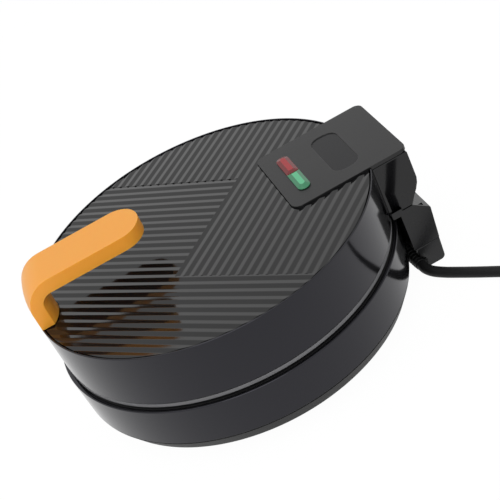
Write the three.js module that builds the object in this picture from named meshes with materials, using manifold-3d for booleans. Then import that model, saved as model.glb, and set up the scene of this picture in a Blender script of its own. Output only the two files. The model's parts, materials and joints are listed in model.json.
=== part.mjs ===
// Cake pop maker: a round countertop cooker with a hinged lid, shown closed.
// Millimetres, z up from the table, handle towards -y, hinge towards +y, x = y = 0 on the round body's axis.

import * as THREE from "three";
import { mergeVertices } from "three/addons/utils/BufferGeometryUtils.js";
import Module from "manifold-3d";

const wasm = await Module();
wasm.setup();

// Clearances, angles and facet counts shared by all pieces
const gap = 0.3;
const overrun = 1;
const fullTurn = Math.PI * 2;
const degree = Math.PI / 180;
const bodySides = 60;
const barrelSides = 24;
const knuckleSides = 20;
const plugSides = 16;
const holeSides = 12;
const screwSides = 8;
const cornerSteps = 4;
const bendSteps = 8;

// The round body's radius, and how far inside or outside it the rest lies
const bodyRadius = 110;
const inset = {
  lidFoot: 0.5, plate: 1, cover: 4.7, lidBlock: 5, reflectorEar: 9, panelScrew: 10.5, boss: 15,
  recess: 15.5, post: 16, lugTip: 22, reflector: 23, feet: 26, outerWells: 35, lens: 43.8, bridge: 57.1,
  housing: 0.7, boot: 0.5, chamber: 22, leadGateRear: 6, leadGateFront: 20, terminalsRear: 28,
  terminalsFront: 40, rearSnap: 30, frontSnap: 48,
};
const outset = {
  baseFoot: 0.5, baseTop: 1.8, hinge: 5.5, slopeTop: 8.8, rearCover: 16, housing: 16.7, lidBlock: 17,
  bridge: 18, slope: 18.4,
};

// Sizes of the round body, from the table up
const feet = {
  height: 7.2, radius: 7.5, stemRadius: 2.7, headRadius: 4, headHeight: 1.2,
  placeRadius: bodyRadius - inset.feet,
};
const cover = { radius: bodyRadius - inset.cover, height: 9.2, wall: 2.4 };
const base = {
  lowRadius: bodyRadius + outset.baseFoot, topRadius: bodyRadius + outset.baseTop, wallHeight: 27.3,
  wall: 2.4, ledgeWidth: 5.4, ledgeHeight: 2,
};
const plate = { radius: bodyRadius - inset.plate, flange: 2.15, pride: 1.15, skin: 2.2, wellRadius: 19 };
const lid = { seam: 0.9, wallHeight: 36, lowRadius: bodyRadius - inset.lidFoot, wall: 2.4 };
const rim = { width: 1.6, ledgeWidth: 14.6, ledgeHeight: 2 };

// Levels worked out from them
const coverBottom = feet.height;
const coverTop = coverBottom + cover.height;
const baseBottom = coverTop + gap;
const baseTop = baseBottom + base.wallHeight;
const lowerFace = baseTop + plate.pride;
const upperFace = lowerFace + gap;
const lidBottom = upperFace + plate.flange + lid.seam;
const lidTop = lidBottom + lid.wallHeight;

// Wells: an inner ring and an outer ring, a well of each ring on the line from the handle to the hinge
const wells = {
  innerCount: 3, innerRadius: 27, outerCount: 9, outerRadius: bodyRadius - inset.outerWells, sides: 12,
  rings: 3, bumpSides: 9,
};
const hingeAngle = 90 * degree;
const handleAngle = -hingeAngle;

// Parts behind each plate, by depth from its baking face
const boss = {
  radius: 4.5, placeRadius: bodyRadius - inset.boss, depth: 17, boreDepth: 6.5, boreRadius: 2.05,
};
const lug = { width: 16, innerRadius: bodyRadius - inset.lugTip };
const reflector = {
  radius: bodyRadius - inset.reflector, thickness: 0.8, earWidth: 12,
  earRadius: bodyRadius - inset.reflectorEar, pinHole: 5, sides: 36,
};
const element = {
  ringRadius: (wells.innerRadius + wells.outerRadius) / 2, tubeRadius: 3.25, depth: 8, pinDepth: 27,
  bend: 7, halfOpening: 20 * degree, sides: 6, steps: 40,
};
const pad = { width: 4, sides: 30 };
const clamp = { width: 9, thickness: 1.25, footInset: 10, studRadius: 2.2, bossRadius: 3.6, boreRadius: 2.5 };
const screw = { headRadius: 3.5, headHeight: 2.2, shankRadius: 1.7, bite: 9 };
const thermostat = {
  depth: 13, seatRadius: 5, cupRadius: 8, flangeRadius: 10, flange: 1.8, neckRadius: 6.8, length: 14,
};
const clampFoot = element.ringRadius - clamp.footInset;
const bumpDepth = plate.wellRadius + plate.skin;
const reflectorDepth = bumpDepth + gap;
const lugDepth = boss.depth + gap;
const lugThickness = reflectorDepth - gap - lugDepth;
const headDepth = reflectorDepth + reflector.thickness + gap;
const clampDepth = element.depth + element.tubeRadius + gap;
const padDepth = element.depth - element.tubeRadius - gap;

// Posts of the base shell that take the cover's screws, and the sunk seats for them in the cover
const post = {
  radius: 4.5, placeRadius: bodyRadius - inset.post, rib: 3, boreRadius: 2, floor: 3.9, top: 7.1,
};
const sink = { radius: 6.5, headRoom: 4, height: 5.6, floor: 3.1 };

// Hinge axis and the blocks behind the round body
const hinge = {
  y: bodyRadius + outset.hinge, rise: 11.8, pinRadius: 4, pinBore: 2, barrelRadius: 9.5,
  knuckleRadius: 8.6,
};
hinge.height = lidBottom + hinge.rise;
const block = {
  halfWidth: 36, wall: 2.5, gap: 0.8, front: bodyRadius - inset.housing,
  rear: bodyRadius + outset.lidBlock, lowRear: bodyRadius + outset.housing,
  slopeRear: bodyRadius + outset.slope, chamfer: 1.1,
};
const barrel = { halfWidth: 20, stemHalf: 6, clearance: 0.7, pinEnd: 8, pinFit: 0.36, channel: 3.4 };
const slopeTop = { y: bodyRadius + outset.slopeTop, drop: 7.1 };
const housingScrew = { x: 15, rise: 14.3 };
housingScrew.height = baseBottom + housingScrew.rise;
const lidBlock = {
  front: bodyRadius - inset.lidBlock, bottom: lidBottom - block.gap, shoulderRise: 15, cheek: 3,
  pinReach: 29.5, knuckleEnd: 30, cornerCut: 2.9, roundWall: 4, shoulderWall: 5, heel: 3.2,
};
lidBlock.shoulder = lidBottom + lidBlock.shoulderRise;
const lidCurveShares = [[0.9, 0.22], [0.66, 0.47], [0.32, 0.72]];
const baseBlockTop = lidBlock.bottom - block.gap;
const rearCover = {
  floor: 0.4, wall: 2.5, corner: 3, lowRear: bodyRadius + outset.rearCover, chamberX: 16,
  chamberFront: bodyRadius - inset.chamber, chamberFloor: 0.6, armX: 10, armTop: 10.2,
};

// Bridge plate over the back of the lid, with its bare recess and the two lamp lenses
const bridge = {
  halfWidth: 36, front: bodyRadius - inset.bridge, rear: bodyRadius + outset.bridge, proud: 0.8,
  thickness: 2.5, frontCorner: 6, rearCorner: 5,
};
const recess = { y: bodyRadius - inset.recess, length: 47, width: 17.5, corner: 7, depth: 0.6 };
const lens = {
  y: bodyRadius - inset.lens, length: 45, width: 8.2, height: 2, bevel: 0.8, neck: 1.3, neckDepth: 6.9,
};
const lensCornerShare = 0.98;
const bridgeTop = lidTop + bridge.proud;
const bridgeBottom = bridgeTop - bridge.thickness;
const snap = {
  x: 30, width: 7, thickness: 2, hook: 0.9,
  rows: [bodyRadius - inset.frontSnap, bodyRadius - inset.rearSnap],
};

// Ribbed panel: straight flutes that change direction along a Z-shaped line
const panel = {
  thickness: 1.6, pitch: 6.25, ribHeight: 0.52, crestDrop: 0.3, overlap: 0.04, legRoom: 4,
};
const fluteAngle = 45 * degree;
const zLine = { farStep: 47.4, nearStep: -42.4, middle: 5.7 };
const zReachShare = 1.6;
const panelBottom = bridgeBottom - gap - panel.thickness;
const panelRadius = bodyRadius - rim.width - gap;
const ledgeTop = panelBottom - gap;
const ledgeBottom = ledgeTop - rim.ledgeHeight;
const panelScrew = {
  placeRadius: bodyRadius - inset.panelScrew, turn: 30 * degree, bossRadius: 3.8, bite: 3,
};

// Lamps under the lenses, in a tray below the panel
const lamp = { radius: 2.6, start: 3, end: 18 };
const tray = { halfLength: 25, wall: 1.5, clearance: 1.2 };
const lensFoot = bridgeTop + gap - lens.neckDepth;
const lampHeight = lensFoot - gap - lamp.radius;
const trayBottom = lampHeight - lamp.radius - gap - tray.wall;

// Handle: a flat tongue over the lid that bends down to a leg on the rim
const handle = {
  halfWidth: 16.5, thickness: 9, top: 28.9, reach: 82.2, tipLength: 15, outerBend: 18, innerBend: 7.5,
};
const leg = {
  thickness: 9.3, bulgeRadius: 27, bulgeReach: 15, bulgeSteps: 10, screwX: 8, screwInset: 6.8,
  boreHeight: 15,
};

// Terminal block, thermal fuse and the leads inside
const terminals = {
  halfWidth: 12, front: bodyRadius - inset.terminalsFront, rear: bodyRadius - inset.terminalsRear,
  height: 9, feedHeight: 6.3,
};
const fuse = { radius: 2, halfLength: 9, y: 30 };
const leadGate = {
  x: -10.2, front: bodyRadius - inset.leadGateFront, rear: bodyRadius - inset.leadGateRear, halfWidth: 3.2,
};
const lead = {
  radius: 2, mainsRadius: 2.2, sides: 6, terminalX: 8, mainsSteps: 18, feedSteps: 20, lidSteps: 12,
};

// Mains cord, its strain relief and plug; the route's points are the cord's centre
const cord = {
  radius: 3.4, sides: 8, steps: 20, coilSides: 6, stepsPerLoop: 24, tailSteps: 6, tailReach: 46,
};
const boot = {
  y: bodyRadius - inset.boot, z: 5.4, rootX: 13.8, endX: 37, rootRadius: 4.9, endRadius: 4,
  neckRadius: 3.5, flange: 2.2, flangeRadius: 4.1,
};
const cordPoints = [
  [37.3, 109.5, 5.4],
  [41.8, 109.9, 5.2],
  [46.8, 112.1, 4.6],
  [52.4, 117.0, 3.9],
  [59.4, 124.0, 3.6],
  [68.3, 132.9, 3.5],
  [77.4, 142.0, 3.6],
  [89.0, 153.4, 3.7],
  [100.0, 168.0, 3.7],
  [107.0, 186.0, 3.7],
  [109.6, 205.0, 3.7],
  [110.0, 226.0, 4.3],
];
const coil = {
  outerRadius: 41.5, pitch: 7.4, turns: 3, climbTurns: 0.5, entryX: 110, entryY: 250,
  entryAngle: 0 * degree,
};
const tie = { thickness: 0.8, width: 6, slack: 0.5 };
const tailShares = { bend: 0.25, rise: 0.125 };
const plug = {
  faceRadius: 18, faceLength: 12, bodyLength: 20, shoulderRadius: 14.4, neckRadius: 9, tailRadius: 6.3,
  reliefLength: 24, reliefRadius: 4.4,
};
const plugPin = { radius: 2.4, length: 19, spacing: 19 };
const plugHeight = plug.faceRadius + gap;

// Colours and finishes
function finish(color, roughness, metalness) {
  return new THREE.MeshStandardMaterial({ color, roughness, metalness });
}
const glossBlack = finish(0x1b1b1e, 0.22, 0);
const ribGrey = finish(0x3c3c3f, 0.32, 0);
const satinGrey = finish(0x434346, 0.45, 0);
const orange = finish(0xee9a3c, 0.4, 0);
const redLens = finish(0xc23237, 0.2, 0);
const greenLens = finish(0x37b070, 0.2, 0);
const coating = finish(0x4a4a4c, 0.6, 0.2);
const steel = finish(0xa9abae, 0.35, 0.9);
const rubber = finish(0x1c1c1c, 0.8, 0);
const glass = finish(0xd8cfc4, 0.1, 0);
const ceramic = finish(0xd9d4c6, 0.7, 0);
const brass = finish(0xc2a15a, 0.35, 0.9);

// Turns a closed geometry into a solid that can be joined and cut
function solidOf(geometry) {
  geometry.deleteAttribute("normal");
  geometry.deleteAttribute("uv");
  const merged = mergeVertices(geometry);
  const mesh = new wasm.Mesh({
    numProp: 3,
    vertProperties: merged.attributes.position.array,
    triVerts: Uint32Array.from(merged.index.array),
  });
  return new wasm.Manifold(mesh);
}

function geometryOf(solid) {
  const mesh = solid.getMesh();
  const geometry = new THREE.BufferGeometry();
  geometry.setAttribute("position", new THREE.BufferAttribute(Float32Array.from(mesh.vertProperties), 3));
  geometry.setIndex(Array.from(mesh.triVerts));
  geometry.computeVertexNormals();
  return geometry;
}

// An upright cylinder or cone about the z axis
function drum(lowRadius, highRadius, low, high, sides, x = 0, y = 0) {
  const geometry = new THREE.CylinderGeometry(highRadius, lowRadius, high - low, sides);
  geometry.rotateX(Math.PI / 2);
  geometry.translate(x, y, (low + high) / 2);
  return solidOf(geometry);
}

function box(x0, x1, y0, y1, z0, z1) {
  const geometry = new THREE.BoxGeometry(x1 - x0, y1 - y0, z1 - z0);
  geometry.translate((x0 + x1) / 2, (y0 + y1) / 2, (z0 + z1) / 2);
  return solidOf(geometry);
}

// A box that points away from the z axis at an angle
function spoke(angle, innerRadius, outerRadius, width, low, high) {
  const geometry = new THREE.BoxGeometry(outerRadius - innerRadius, width, high - low);
  geometry.translate((innerRadius + outerRadius) / 2, 0, (low + high) / 2);
  geometry.rotateZ(angle);
  return solidOf(geometry);
}

// A cylinder that runs along x
function rod(radius, x0, x1, y, z, sides) {
  const geometry = new THREE.CylinderGeometry(radius, radius, x1 - x0, sides);
  geometry.rotateZ(-Math.PI / 2);
  geometry.translate((x0 + x1) / 2, y, z);
  return solidOf(geometry);
}

function shapeOf(points) {
  return new THREE.Shape(points.map(([a, b]) => new THREE.Vector2(a, b)));
}

// A plan outline pulled up from one level to another
function plan(shape, low, high) {
  const geometry = new THREE.ExtrudeGeometry(shape, { depth: high - low, bevelEnabled: false,
    curveSegments: cornerSteps });
  geometry.translate(0, 0, low);
  return solidOf(geometry);
}

// An outline in y and z pulled along x
function profile(points, x0, x1) {
  const geometry = new THREE.ExtrudeGeometry(shapeOf(points), { depth: x1 - x0, bevelEnabled: false });
  geometry.translate(0, 0, x0);
  const turn = new THREE.Matrix4().makeBasis(
    new THREE.Vector3(0, 1, 0),
    new THREE.Vector3(0, 0, 1),
    new THREE.Vector3(1, 0, 0),
  );
  geometry.applyMatrix4(turn);
  return solidOf(geometry);
}

// A closed outline of radius and height, turned about the z axis
function turned(points, sides) {
  const geometry = new THREE.LatheGeometry(points.map(([r, z]) => new THREE.Vector2(r, z)), sides);
  geometry.rotateX(Math.PI / 2);
  return geometry;
}

function ball(radius, x, y, z, sides, rings) {
  const geometry = new THREE.SphereGeometry(radius, sides, rings);
  geometry.rotateX(Math.PI / 2);
  geometry.translate(x, y, z);
  return solidOf(geometry);
}

// A tube along a curve, with flat ends
function tube(curve, radius, sides, steps) {
  const corners = Array.from({ length: sides }, (_, i) => {
    const angle = (i * fullTurn) / sides;
    return [radius * Math.cos(angle), radius * Math.sin(angle)];
  });
  return new THREE.ExtrudeGeometry(shapeOf(corners), { extrudePath: curve, steps, bevelEnabled: false });
}

function smoothCurve(points) {
  return new THREE.CatmullRomCurve3(points.map((p) => new THREE.Vector3(...p)), false, "centripetal");
}

function add(parent, name, shape, material) {
  const geometry = shape.isBufferGeometry ? shape : geometryOf(shape);
  const mesh = new THREE.Mesh(geometry, material);
  mesh.name = name;
  parent.add(mesh);
  return mesh;
}

function polar(radius, angle) {
  return [radius * Math.cos(angle), radius * Math.sin(angle)];
}

// Angles of three fixings: at the handle and a third of a turn to each side
const fixingAngles = [0, 1, 2].map((i) => handleAngle + (i * fullTurn) / 3);
// Angles of the cover's screws, midway between them, and of the panel's screws
const coverAngles = fixingAngles.map((angle) => angle + Math.PI);
const panelScrewAngles = coverAngles.map((angle) => angle + panelScrew.turn);

// The height of a depth behind the baking face of the lower (side -1) or upper (side 1) plate
function behind(side, depth) {
  return side < 0 ? lowerFace - depth : upperFace + depth;
}

function layer(side, from, to, make) {
  const a = behind(side, from);
  const b = behind(side, to);
  return make(Math.min(a, b), Math.max(a, b));
}

function wellPlaces() {
  const ring = (count, radius, start) =>
    Array.from({ length: count }, (_, i) => polar(radius, start + (i * fullTurn) / count));
  return [
    ...ring(wells.innerCount, wells.innerRadius, handleAngle),
    ...ring(wells.outerCount, wells.outerRadius, hingeAngle),
  ];
}

const clampAngles = [fixingAngles[1] + Math.PI, fixingAngles[2] + Math.PI];

function bakingPlate(side) {
  let solid = layer(side, 0, plate.flange, (a, b) => drum(plate.radius, plate.radius, a, b, bodySides));
  const face = behind(side, 0);
  for (const [x, y] of wellPlaces()) {
    const bump = ball(plate.wellRadius + plate.skin, x, y, face, wells.bumpSides, wells.rings * 2);
    const half = layer(side, plate.flange / 2, bumpDepth + overrun, (a, b) =>
      box(x - bumpDepth - overrun, x + bumpDepth + overrun, y - bumpDepth - overrun,
        y + bumpDepth + overrun, a, b));
    solid = solid.add(bump.intersect(half));
  }
  const outer = element.ringRadius + pad.width / 2;
  const inner = element.ringRadius - pad.width / 2;
  const padRing = layer(side, plate.flange / 2, padDepth, (a, b) =>
    drum(outer, outer, a, b, pad.sides).subtract(drum(inner, inner, a - overrun, b + overrun, pad.sides)));
  solid = solid.add(padRing);
  for (const angle of fixingAngles) {
    const [x, y] = polar(boss.placeRadius, angle);
    const stub = layer(side, plate.flange / 2, boss.depth, (a, b) =>
      drum(boss.radius, boss.radius, a, b, holeSides, x, y));
    const bore = layer(side, boss.boreDepth, boss.depth + overrun, (a, b) =>
      drum(boss.boreRadius, boss.boreRadius, a, b, screwSides, x, y));
    solid = solid.add(stub).subtract(bore);
  }
  for (const angle of clampAngles) {
    const [x, y] = polar(clampFoot, angle);
    const stub = layer(side, plate.flange / 2, clampDepth - gap, (a, b) =>
      drum(clamp.bossRadius, clamp.bossRadius, a, b, screwSides, x, y));
    const bore = layer(side, padDepth, clampDepth + overrun, (a, b) =>
      drum(clamp.boreRadius, clamp.boreRadius, a, b, screwSides, x, y));
    solid = solid.add(stub).subtract(bore);
  }
  for (const [x, y] of wellPlaces()) {
    solid = solid.subtract(ball(plate.wellRadius, x, y, face, wells.sides, wells.rings * 2));
  }
  if (side < 0) {
    const seat = layer(side, plate.flange / 2, thermostat.depth - gap, (a, b) =>
      drum(thermostat.seatRadius, thermostat.seatRadius, a, b, holeSides));
    solid = solid.add(seat);
  }
  return solid;
}

// Bimetal thermostat in the middle of the lower plate
function thermostatGeometry() {
  const top = behind(-1, thermostat.depth);
  const flangeBottom = behind(-1, bumpDepth);
  const flangeTop = flangeBottom + thermostat.flange;
  const bottom = top - thermostat.length;
  return turned([
    [0, bottom],
    [thermostat.neckRadius, bottom],
    [thermostat.neckRadius, flangeBottom],
    [thermostat.flangeRadius, flangeBottom],
    [thermostat.flangeRadius, flangeTop],
    [thermostat.cupRadius, flangeTop],
    [thermostat.cupRadius, top],
    [0, top],
  ], holeSides);
}

// The part of the heating element that lies round the plate between the two rings of wells
class RingArc extends THREE.Curve {
  constructor(radius, from, to, z) {
    super();
    Object.assign(this, { radius, from, to, z });
  }
  getPoint(t, target = new THREE.Vector3()) {
    const angle = this.from + (this.to - this.from) * t;
    return target.set(this.radius * Math.cos(angle), this.radius * Math.sin(angle), this.z);
  }
}

function elementGeometry(side) {
  const z = behind(side, element.depth);
  const pinZ = behind(side, element.pinDepth);
  const bendZ = behind(side, element.depth + element.bend);
  const bendAngle = element.bend / element.ringRadius;
  const startAngle = hingeAngle + element.halfOpening;
  const endAngle = hingeAngle - element.halfOpening + fullTurn;
  const at = (angle, height) => new THREE.Vector3(...polar(element.ringRadius, angle), height);
  const path = new THREE.CurvePath();
  path.add(new THREE.LineCurve3(at(startAngle, pinZ), at(startAngle, bendZ)));
  path.add(new THREE.QuadraticBezierCurve3(at(startAngle, bendZ), at(startAngle, z),
    at(startAngle + bendAngle, z)));
  path.add(new RingArc(element.ringRadius, startAngle + bendAngle, endAngle - bendAngle, z));
  path.add(new THREE.QuadraticBezierCurve3(at(endAngle - bendAngle, z), at(endAngle, z), at(endAngle,
    bendZ)));
  path.add(new THREE.LineCurve3(at(endAngle, bendZ), at(endAngle, pinZ)));
  return tube(path, element.tubeRadius, element.sides, element.steps);
}

function clampSolid(side, angle) {
  const outer = element.ringRadius + element.tubeRadius / 2;
  const inner = clampFoot - clamp.width / 2;
  const strap = layer(side, clampDepth, clampDepth + clamp.thickness, (a, b) =>
    spoke(angle, inner, outer, clamp.width, a, b));
  const [x, y] = polar(clampFoot, angle);
  const stud = layer(side, padDepth + gap, clampDepth + clamp.thickness / 2, (a, b) =>
    drum(clamp.studRadius, clamp.studRadius, a, b, screwSides, x, y));
  return strap.add(stud);
}

function reflectorSolid(side) {
  let solid = layer(side, reflectorDepth, reflectorDepth + reflector.thickness, (a, b) =>
    drum(reflector.radius, reflector.radius, a, b, reflector.sides));
  for (const angle of fixingAngles) {
    const ear = layer(side, reflectorDepth, reflectorDepth + reflector.thickness, (a, b) =>
      spoke(angle, lug.innerRadius - reflector.earWidth, reflector.earRadius, reflector.earWidth, a, b));
    solid = solid.add(ear);
  }
  const through = (radius, place) => layer(side, reflectorDepth - overrun, headDepth + overrun, (a, b) =>
    drum(radius, radius, a, b, screwSides, ...place));
  for (const angle of fixingAngles) {
    solid = solid.subtract(through(boss.boreRadius, polar(boss.placeRadius, angle)));
  }
  for (const turn of [-element.halfOpening, element.halfOpening]) {
    solid = solid.subtract(through(reflector.pinHole, polar(element.ringRadius, hingeAngle + turn)));
  }
  if (side < 0) {
    solid = solid.subtract(through(thermostat.neckRadius + gap * 2, [0, 0]));
  }
  return solid;
}

// A pan-head screw whose head lies at z = 0 and whose shank points up
function screwGeometry(shankLength) {
  return turned([
    [0, -screw.headHeight],
    [screw.headRadius, -screw.headHeight],
    [screw.headRadius, 0],
    [screw.shankRadius, 0],
    [screw.shankRadius, shankLength],
    [0, shankLength],
  ], screwSides);
}

// Where lugs and webs take root: the middle of each shell's wall
const baseRoot = base.lowRadius - base.wall / 2;
const lidRoot = lid.lowRadius - lid.wall / 2;

// The three lugs of a shell that carry the bosses of a baking plate
function addLugs(shell, side) {
  const root = side < 0 ? baseRoot : lidRoot;
  let solid = shell;
  for (const angle of fixingAngles) {
    const arm = layer(side, lugDepth, lugDepth + lugThickness, (a, b) =>
      spoke(angle, lug.innerRadius, root, lug.width, a, b));
    const hole = layer(side, lugDepth - overrun, lugDepth + lugThickness + overrun, (a, b) =>
      drum(boss.boreRadius, boss.boreRadius, a, b, screwSides, ...polar(boss.placeRadius, angle)));
    solid = solid.add(arm).subtract(hole);
  }
  return solid;
}

// Base shell, with the plate's ledge, the lugs and the posts that take the cover's screws
function baseShellSolid() {
  const ledgeLevel = lowerFace - plate.flange - gap;
  const innerTop = base.topRadius - base.wall;
  const innerLow = base.lowRadius - base.wall;
  let solid = solidOf(turned([
    [base.lowRadius, baseBottom],
    [base.topRadius, baseTop],
    [innerTop, baseTop],
    [innerTop, ledgeLevel],
    [innerTop - base.ledgeWidth, ledgeLevel],
    [innerTop - base.ledgeWidth, ledgeLevel - base.ledgeHeight],
    [innerTop, ledgeLevel - base.ledgeHeight],
    [innerLow, baseBottom],
    [base.lowRadius, baseBottom],
  ], bodySides));
  solid = addLugs(solid, -1);
  for (const angle of coverAngles) {
    const place = polar(post.placeRadius, angle);
    const columnBottom = coverBottom + cover.wall + post.floor;
    const column = drum(post.radius, post.radius, columnBottom, baseBottom + post.top, holeSides, ...place);
    const web = spoke(angle, post.placeRadius, baseRoot, post.rib, baseBottom, baseBottom + post.top);
    const bore = drum(post.boreRadius, post.boreRadius, coverBottom, baseBottom + post.top - overrun,
      screwSides, ...place);
    solid = solid.add(column).add(web).subtract(bore);
  }
  const wireGate = box(-barrel.channel, barrel.channel, post.placeRadius + post.radius + overrun, block.rear,
    baseBottom + post.top, baseBottom + post.top + barrel.channel * 3);
  solid = solid.subtract(wireGate);
  for (const side of [-1, 1]) {
    solid = solid.subtract(housingScrewHole(side));
  }
  return solid;
}

// Bottom cover: a shallow dish with a bevelled edge and sunk screw heads
function coverOutline(clearance) {
  return [
    [0, coverBottom - clearance],
    [cover.radius + clearance, coverBottom - clearance],
    [base.lowRadius + clearance, coverTop],
    [base.lowRadius + clearance, coverTop + overrun],
    [0, coverTop + overrun],
  ];
}

function bottomCoverSolid() {
  const floor = coverBottom + cover.wall;
  let solid = solidOf(turned([
    [0, coverBottom],
    [cover.radius, coverBottom],
    [base.lowRadius, coverTop],
    [base.lowRadius - cover.wall, coverTop],
    [cover.radius - cover.wall, floor],
    [0, floor],
  ], bodySides));
  for (const angle of coverAngles) {
    const place = polar(post.placeRadius, angle);
    const cup = drum(sink.radius, sink.radius, coverBottom, coverBottom + sink.height, holeSides, ...place);
    const well = drum(sink.headRoom, sink.headRoom, coverBottom - overrun, coverBottom + sink.floor,
      holeSides, ...place);
    const hole = drum(post.boreRadius, post.boreRadius, coverBottom,
      coverBottom + sink.height + overrun, screwSides, ...place);
    solid = solid.add(cup).subtract(well).subtract(hole);
  }
  for (const place of footPlaces()) {
    const hole = feet.stemRadius + gap;
    solid = solid.subtract(drum(hole, hole, coverBottom - overrun, floor + overrun, screwSides, ...place));
  }
  const gate = box(leadGate.x - leadGate.halfWidth, leadGate.x + leadGate.halfWidth, leadGate.front,
    leadGate.rear,
    coverBottom - overrun, floor + overrun);
  return solid.subtract(gate);
}

function footPlaces() {
  const spread = [20, 135].map((angle) => angle * degree);
  return spread.flatMap((angle) => [polar(feet.placeRadius, hingeAngle - angle),
    polar(feet.placeRadius, hingeAngle + angle)]);
}

function footGeometry() {
  const floor = coverBottom + cover.wall + gap;
  return turned([
    [0, 0],
    [feet.radius, 0],
    [feet.radius, coverBottom - gap],
    [feet.stemRadius, coverBottom - gap],
    [feet.stemRadius, floor],
    [feet.headRadius, floor],
    [feet.stemRadius, floor + feet.headHeight],
    [0, floor + feet.headHeight],
  ], screwSides);
}

// Hinge housing of the base: a block behind the shell with the hinge's middle barrel on top
function housingScrewHole(side) {
  const length = block.rear - block.front + overrun;
  const geometry = new THREE.CylinderGeometry(boss.boreRadius, boss.boreRadius, length, screwSides);
  geometry.translate(side * housingScrew.x, (block.rear + block.front) / 2 - block.wall * 2,
    housingScrew.height);
  return solidOf(geometry);
}

function shellFlare(clearance, low, high) {
  const rise = (base.topRadius - base.lowRadius) / (baseTop - baseBottom);
  const at = (z) => base.lowRadius + rise * (z - baseBottom) + clearance;
  return drum(at(low), at(high), low, high, bodySides);
}

function housingSolid() {
  const top = baseBlockTop;
  const outline = [
    [block.front, baseBottom],
    [block.lowRear, baseBottom],
    [block.slopeRear, top - slopeTop.drop],
    [slopeTop.y, top],
    [block.front + block.chamfer, top],
    [block.front, top - block.chamfer],
  ];
  const cavityFront = base.topRadius + gap + block.wall;
  const cavity = [
    [cavityFront, baseBottom - overrun],
    [block.lowRear - block.wall, baseBottom - overrun],
    [block.slopeRear - block.wall, top - slopeTop.drop - block.wall / 2],
    [slopeTop.y, top - block.wall],
    [cavityFront, top - block.wall],
  ];
  const inside = block.halfWidth - block.wall;
  let solid = profile(outline, -block.halfWidth, block.halfWidth);
  solid = solid.subtract(profile(cavity, -inside, inside));
  for (const side of [-1, 1]) {
    const x = side * housingScrew.x;
    const half = screw.headRadius + block.wall / 2;
    solid = solid.add(box(x - half, x + half, cavityFront - overrun, block.lowRear - overrun,
      housingScrew.height - half, housingScrew.height + half));
  }
  solid = solid.subtract(shellFlare(gap, baseBottom - overrun, top + overrun));
  const stem = box(-barrel.halfWidth, barrel.halfWidth, hinge.y - barrel.stemHalf, hinge.y + barrel.stemHalf,
    top - block.wall, hinge.height);
  const round = rod(hinge.barrelRadius, -barrel.halfWidth, barrel.halfWidth, hinge.y, hinge.height,
    barrelSides);
  solid = solid.add(stem).add(round);
  const end = barrel.halfWidth + overrun;
  for (const [x0, x1] of [[-end, -barrel.pinEnd], [barrel.pinEnd, end]]) {
    solid = solid.subtract(rod(hinge.pinRadius + gap, x0, x1, hinge.y, hinge.height, holeSides));
  }
  solid = solid.subtract(box(-barrel.channel, barrel.channel, hinge.y - barrel.channel,
    hinge.y + barrel.channel,
    baseBottom + post.top, hinge.height));
  solid = solid.subtract(box(-barrel.channel, barrel.channel, block.front - overrun, hinge.y + barrel.channel,
    baseBottom + post.top, top - barrel.channel * 2));
  const room = hinge.barrelRadius + overrun;
  const leadSlot = [
    [hinge.y - room, hinge.height - barrel.channel],
    [hinge.y + barrel.channel, hinge.height - barrel.channel],
    [hinge.y + barrel.channel, hinge.height],
    [hinge.y + room, hinge.height + room],
    [hinge.y - room, hinge.height + room],
  ];
  solid = solid.subtract(profile(leadSlot, -barrel.channel, barrel.channel));
  for (const side of [-1, 1]) {
    solid = solid.subtract(housingScrewHole(side));
  }
  return solid;
}

// Lower cover of the hinge housing, down to the table, with the arm that holds the cord's strain relief
function rearCoverSolid() {
  const top = coverTop;
  const outline = [
    [block.front + block.chamfer, rearCover.floor + rearCover.corner / 2],
    [block.front + block.chamfer + rearCover.corner / 2, rearCover.floor],
    [rearCover.lowRear - rearCover.corner, rearCover.floor],
    [rearCover.lowRear, rearCover.floor + rearCover.corner],
    [block.lowRear, top],
    [block.front + block.chamfer, top],
  ];
  const front = base.topRadius + gap + rearCover.wall;
  const inside = block.halfWidth - rearCover.wall;
  let solid = profile(outline, -block.halfWidth, block.halfWidth);
  const chamber = box(-rearCover.chamberX, boot.rootX - gap, rearCover.chamberFront, front,
    rearCover.floor, rearCover.armTop);
  const room = box(-rearCover.chamberX + rearCover.wall, rearCover.armX,
    rearCover.chamberFront + rearCover.wall,
    front + overrun, rearCover.floor + rearCover.chamberFloor, rearCover.armTop + overrun);
  solid = solid.add(chamber);
  solid = solid.subtract(box(-inside, inside, front, rearCover.lowRear - rearCover.wall,
    rearCover.floor + rearCover.wall, top + overrun));
  solid = solid.subtract(room);
  solid = solid.subtract(solidOf(turned(coverOutline(gap), bodySides)));
  const neck = boot.neckRadius + gap;
  solid = solid.subtract(rod(neck, rearCover.armX - overrun, block.halfWidth + overrun, boot.y, boot.z,
    holeSides));
  const outside = boot.rootRadius + gap;
  return solid.subtract(rod(outside, boot.rootX - gap, block.halfWidth + overrun, boot.y, boot.z, holeSides));
}

// Cord strain relief: a flange inside the arm, a neck through it and a taper outside
function bootGeometry() {
  const root = boot.rootX;
  const arm = rearCover.armX - gap;
  const geometry = turned([
    [0, arm - boot.flange],
    [boot.flangeRadius, arm - boot.flange],
    [boot.flangeRadius, arm],
    [boot.neckRadius, arm],
    [boot.neckRadius, root],
    [boot.rootRadius, root],
    [boot.endRadius, boot.endX],
    [0, boot.endX],
  ], holeSides);
  geometry.rotateY(Math.PI / 2);
  geometry.translate(0, boot.y, boot.z);
  return geometry;
}

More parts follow.
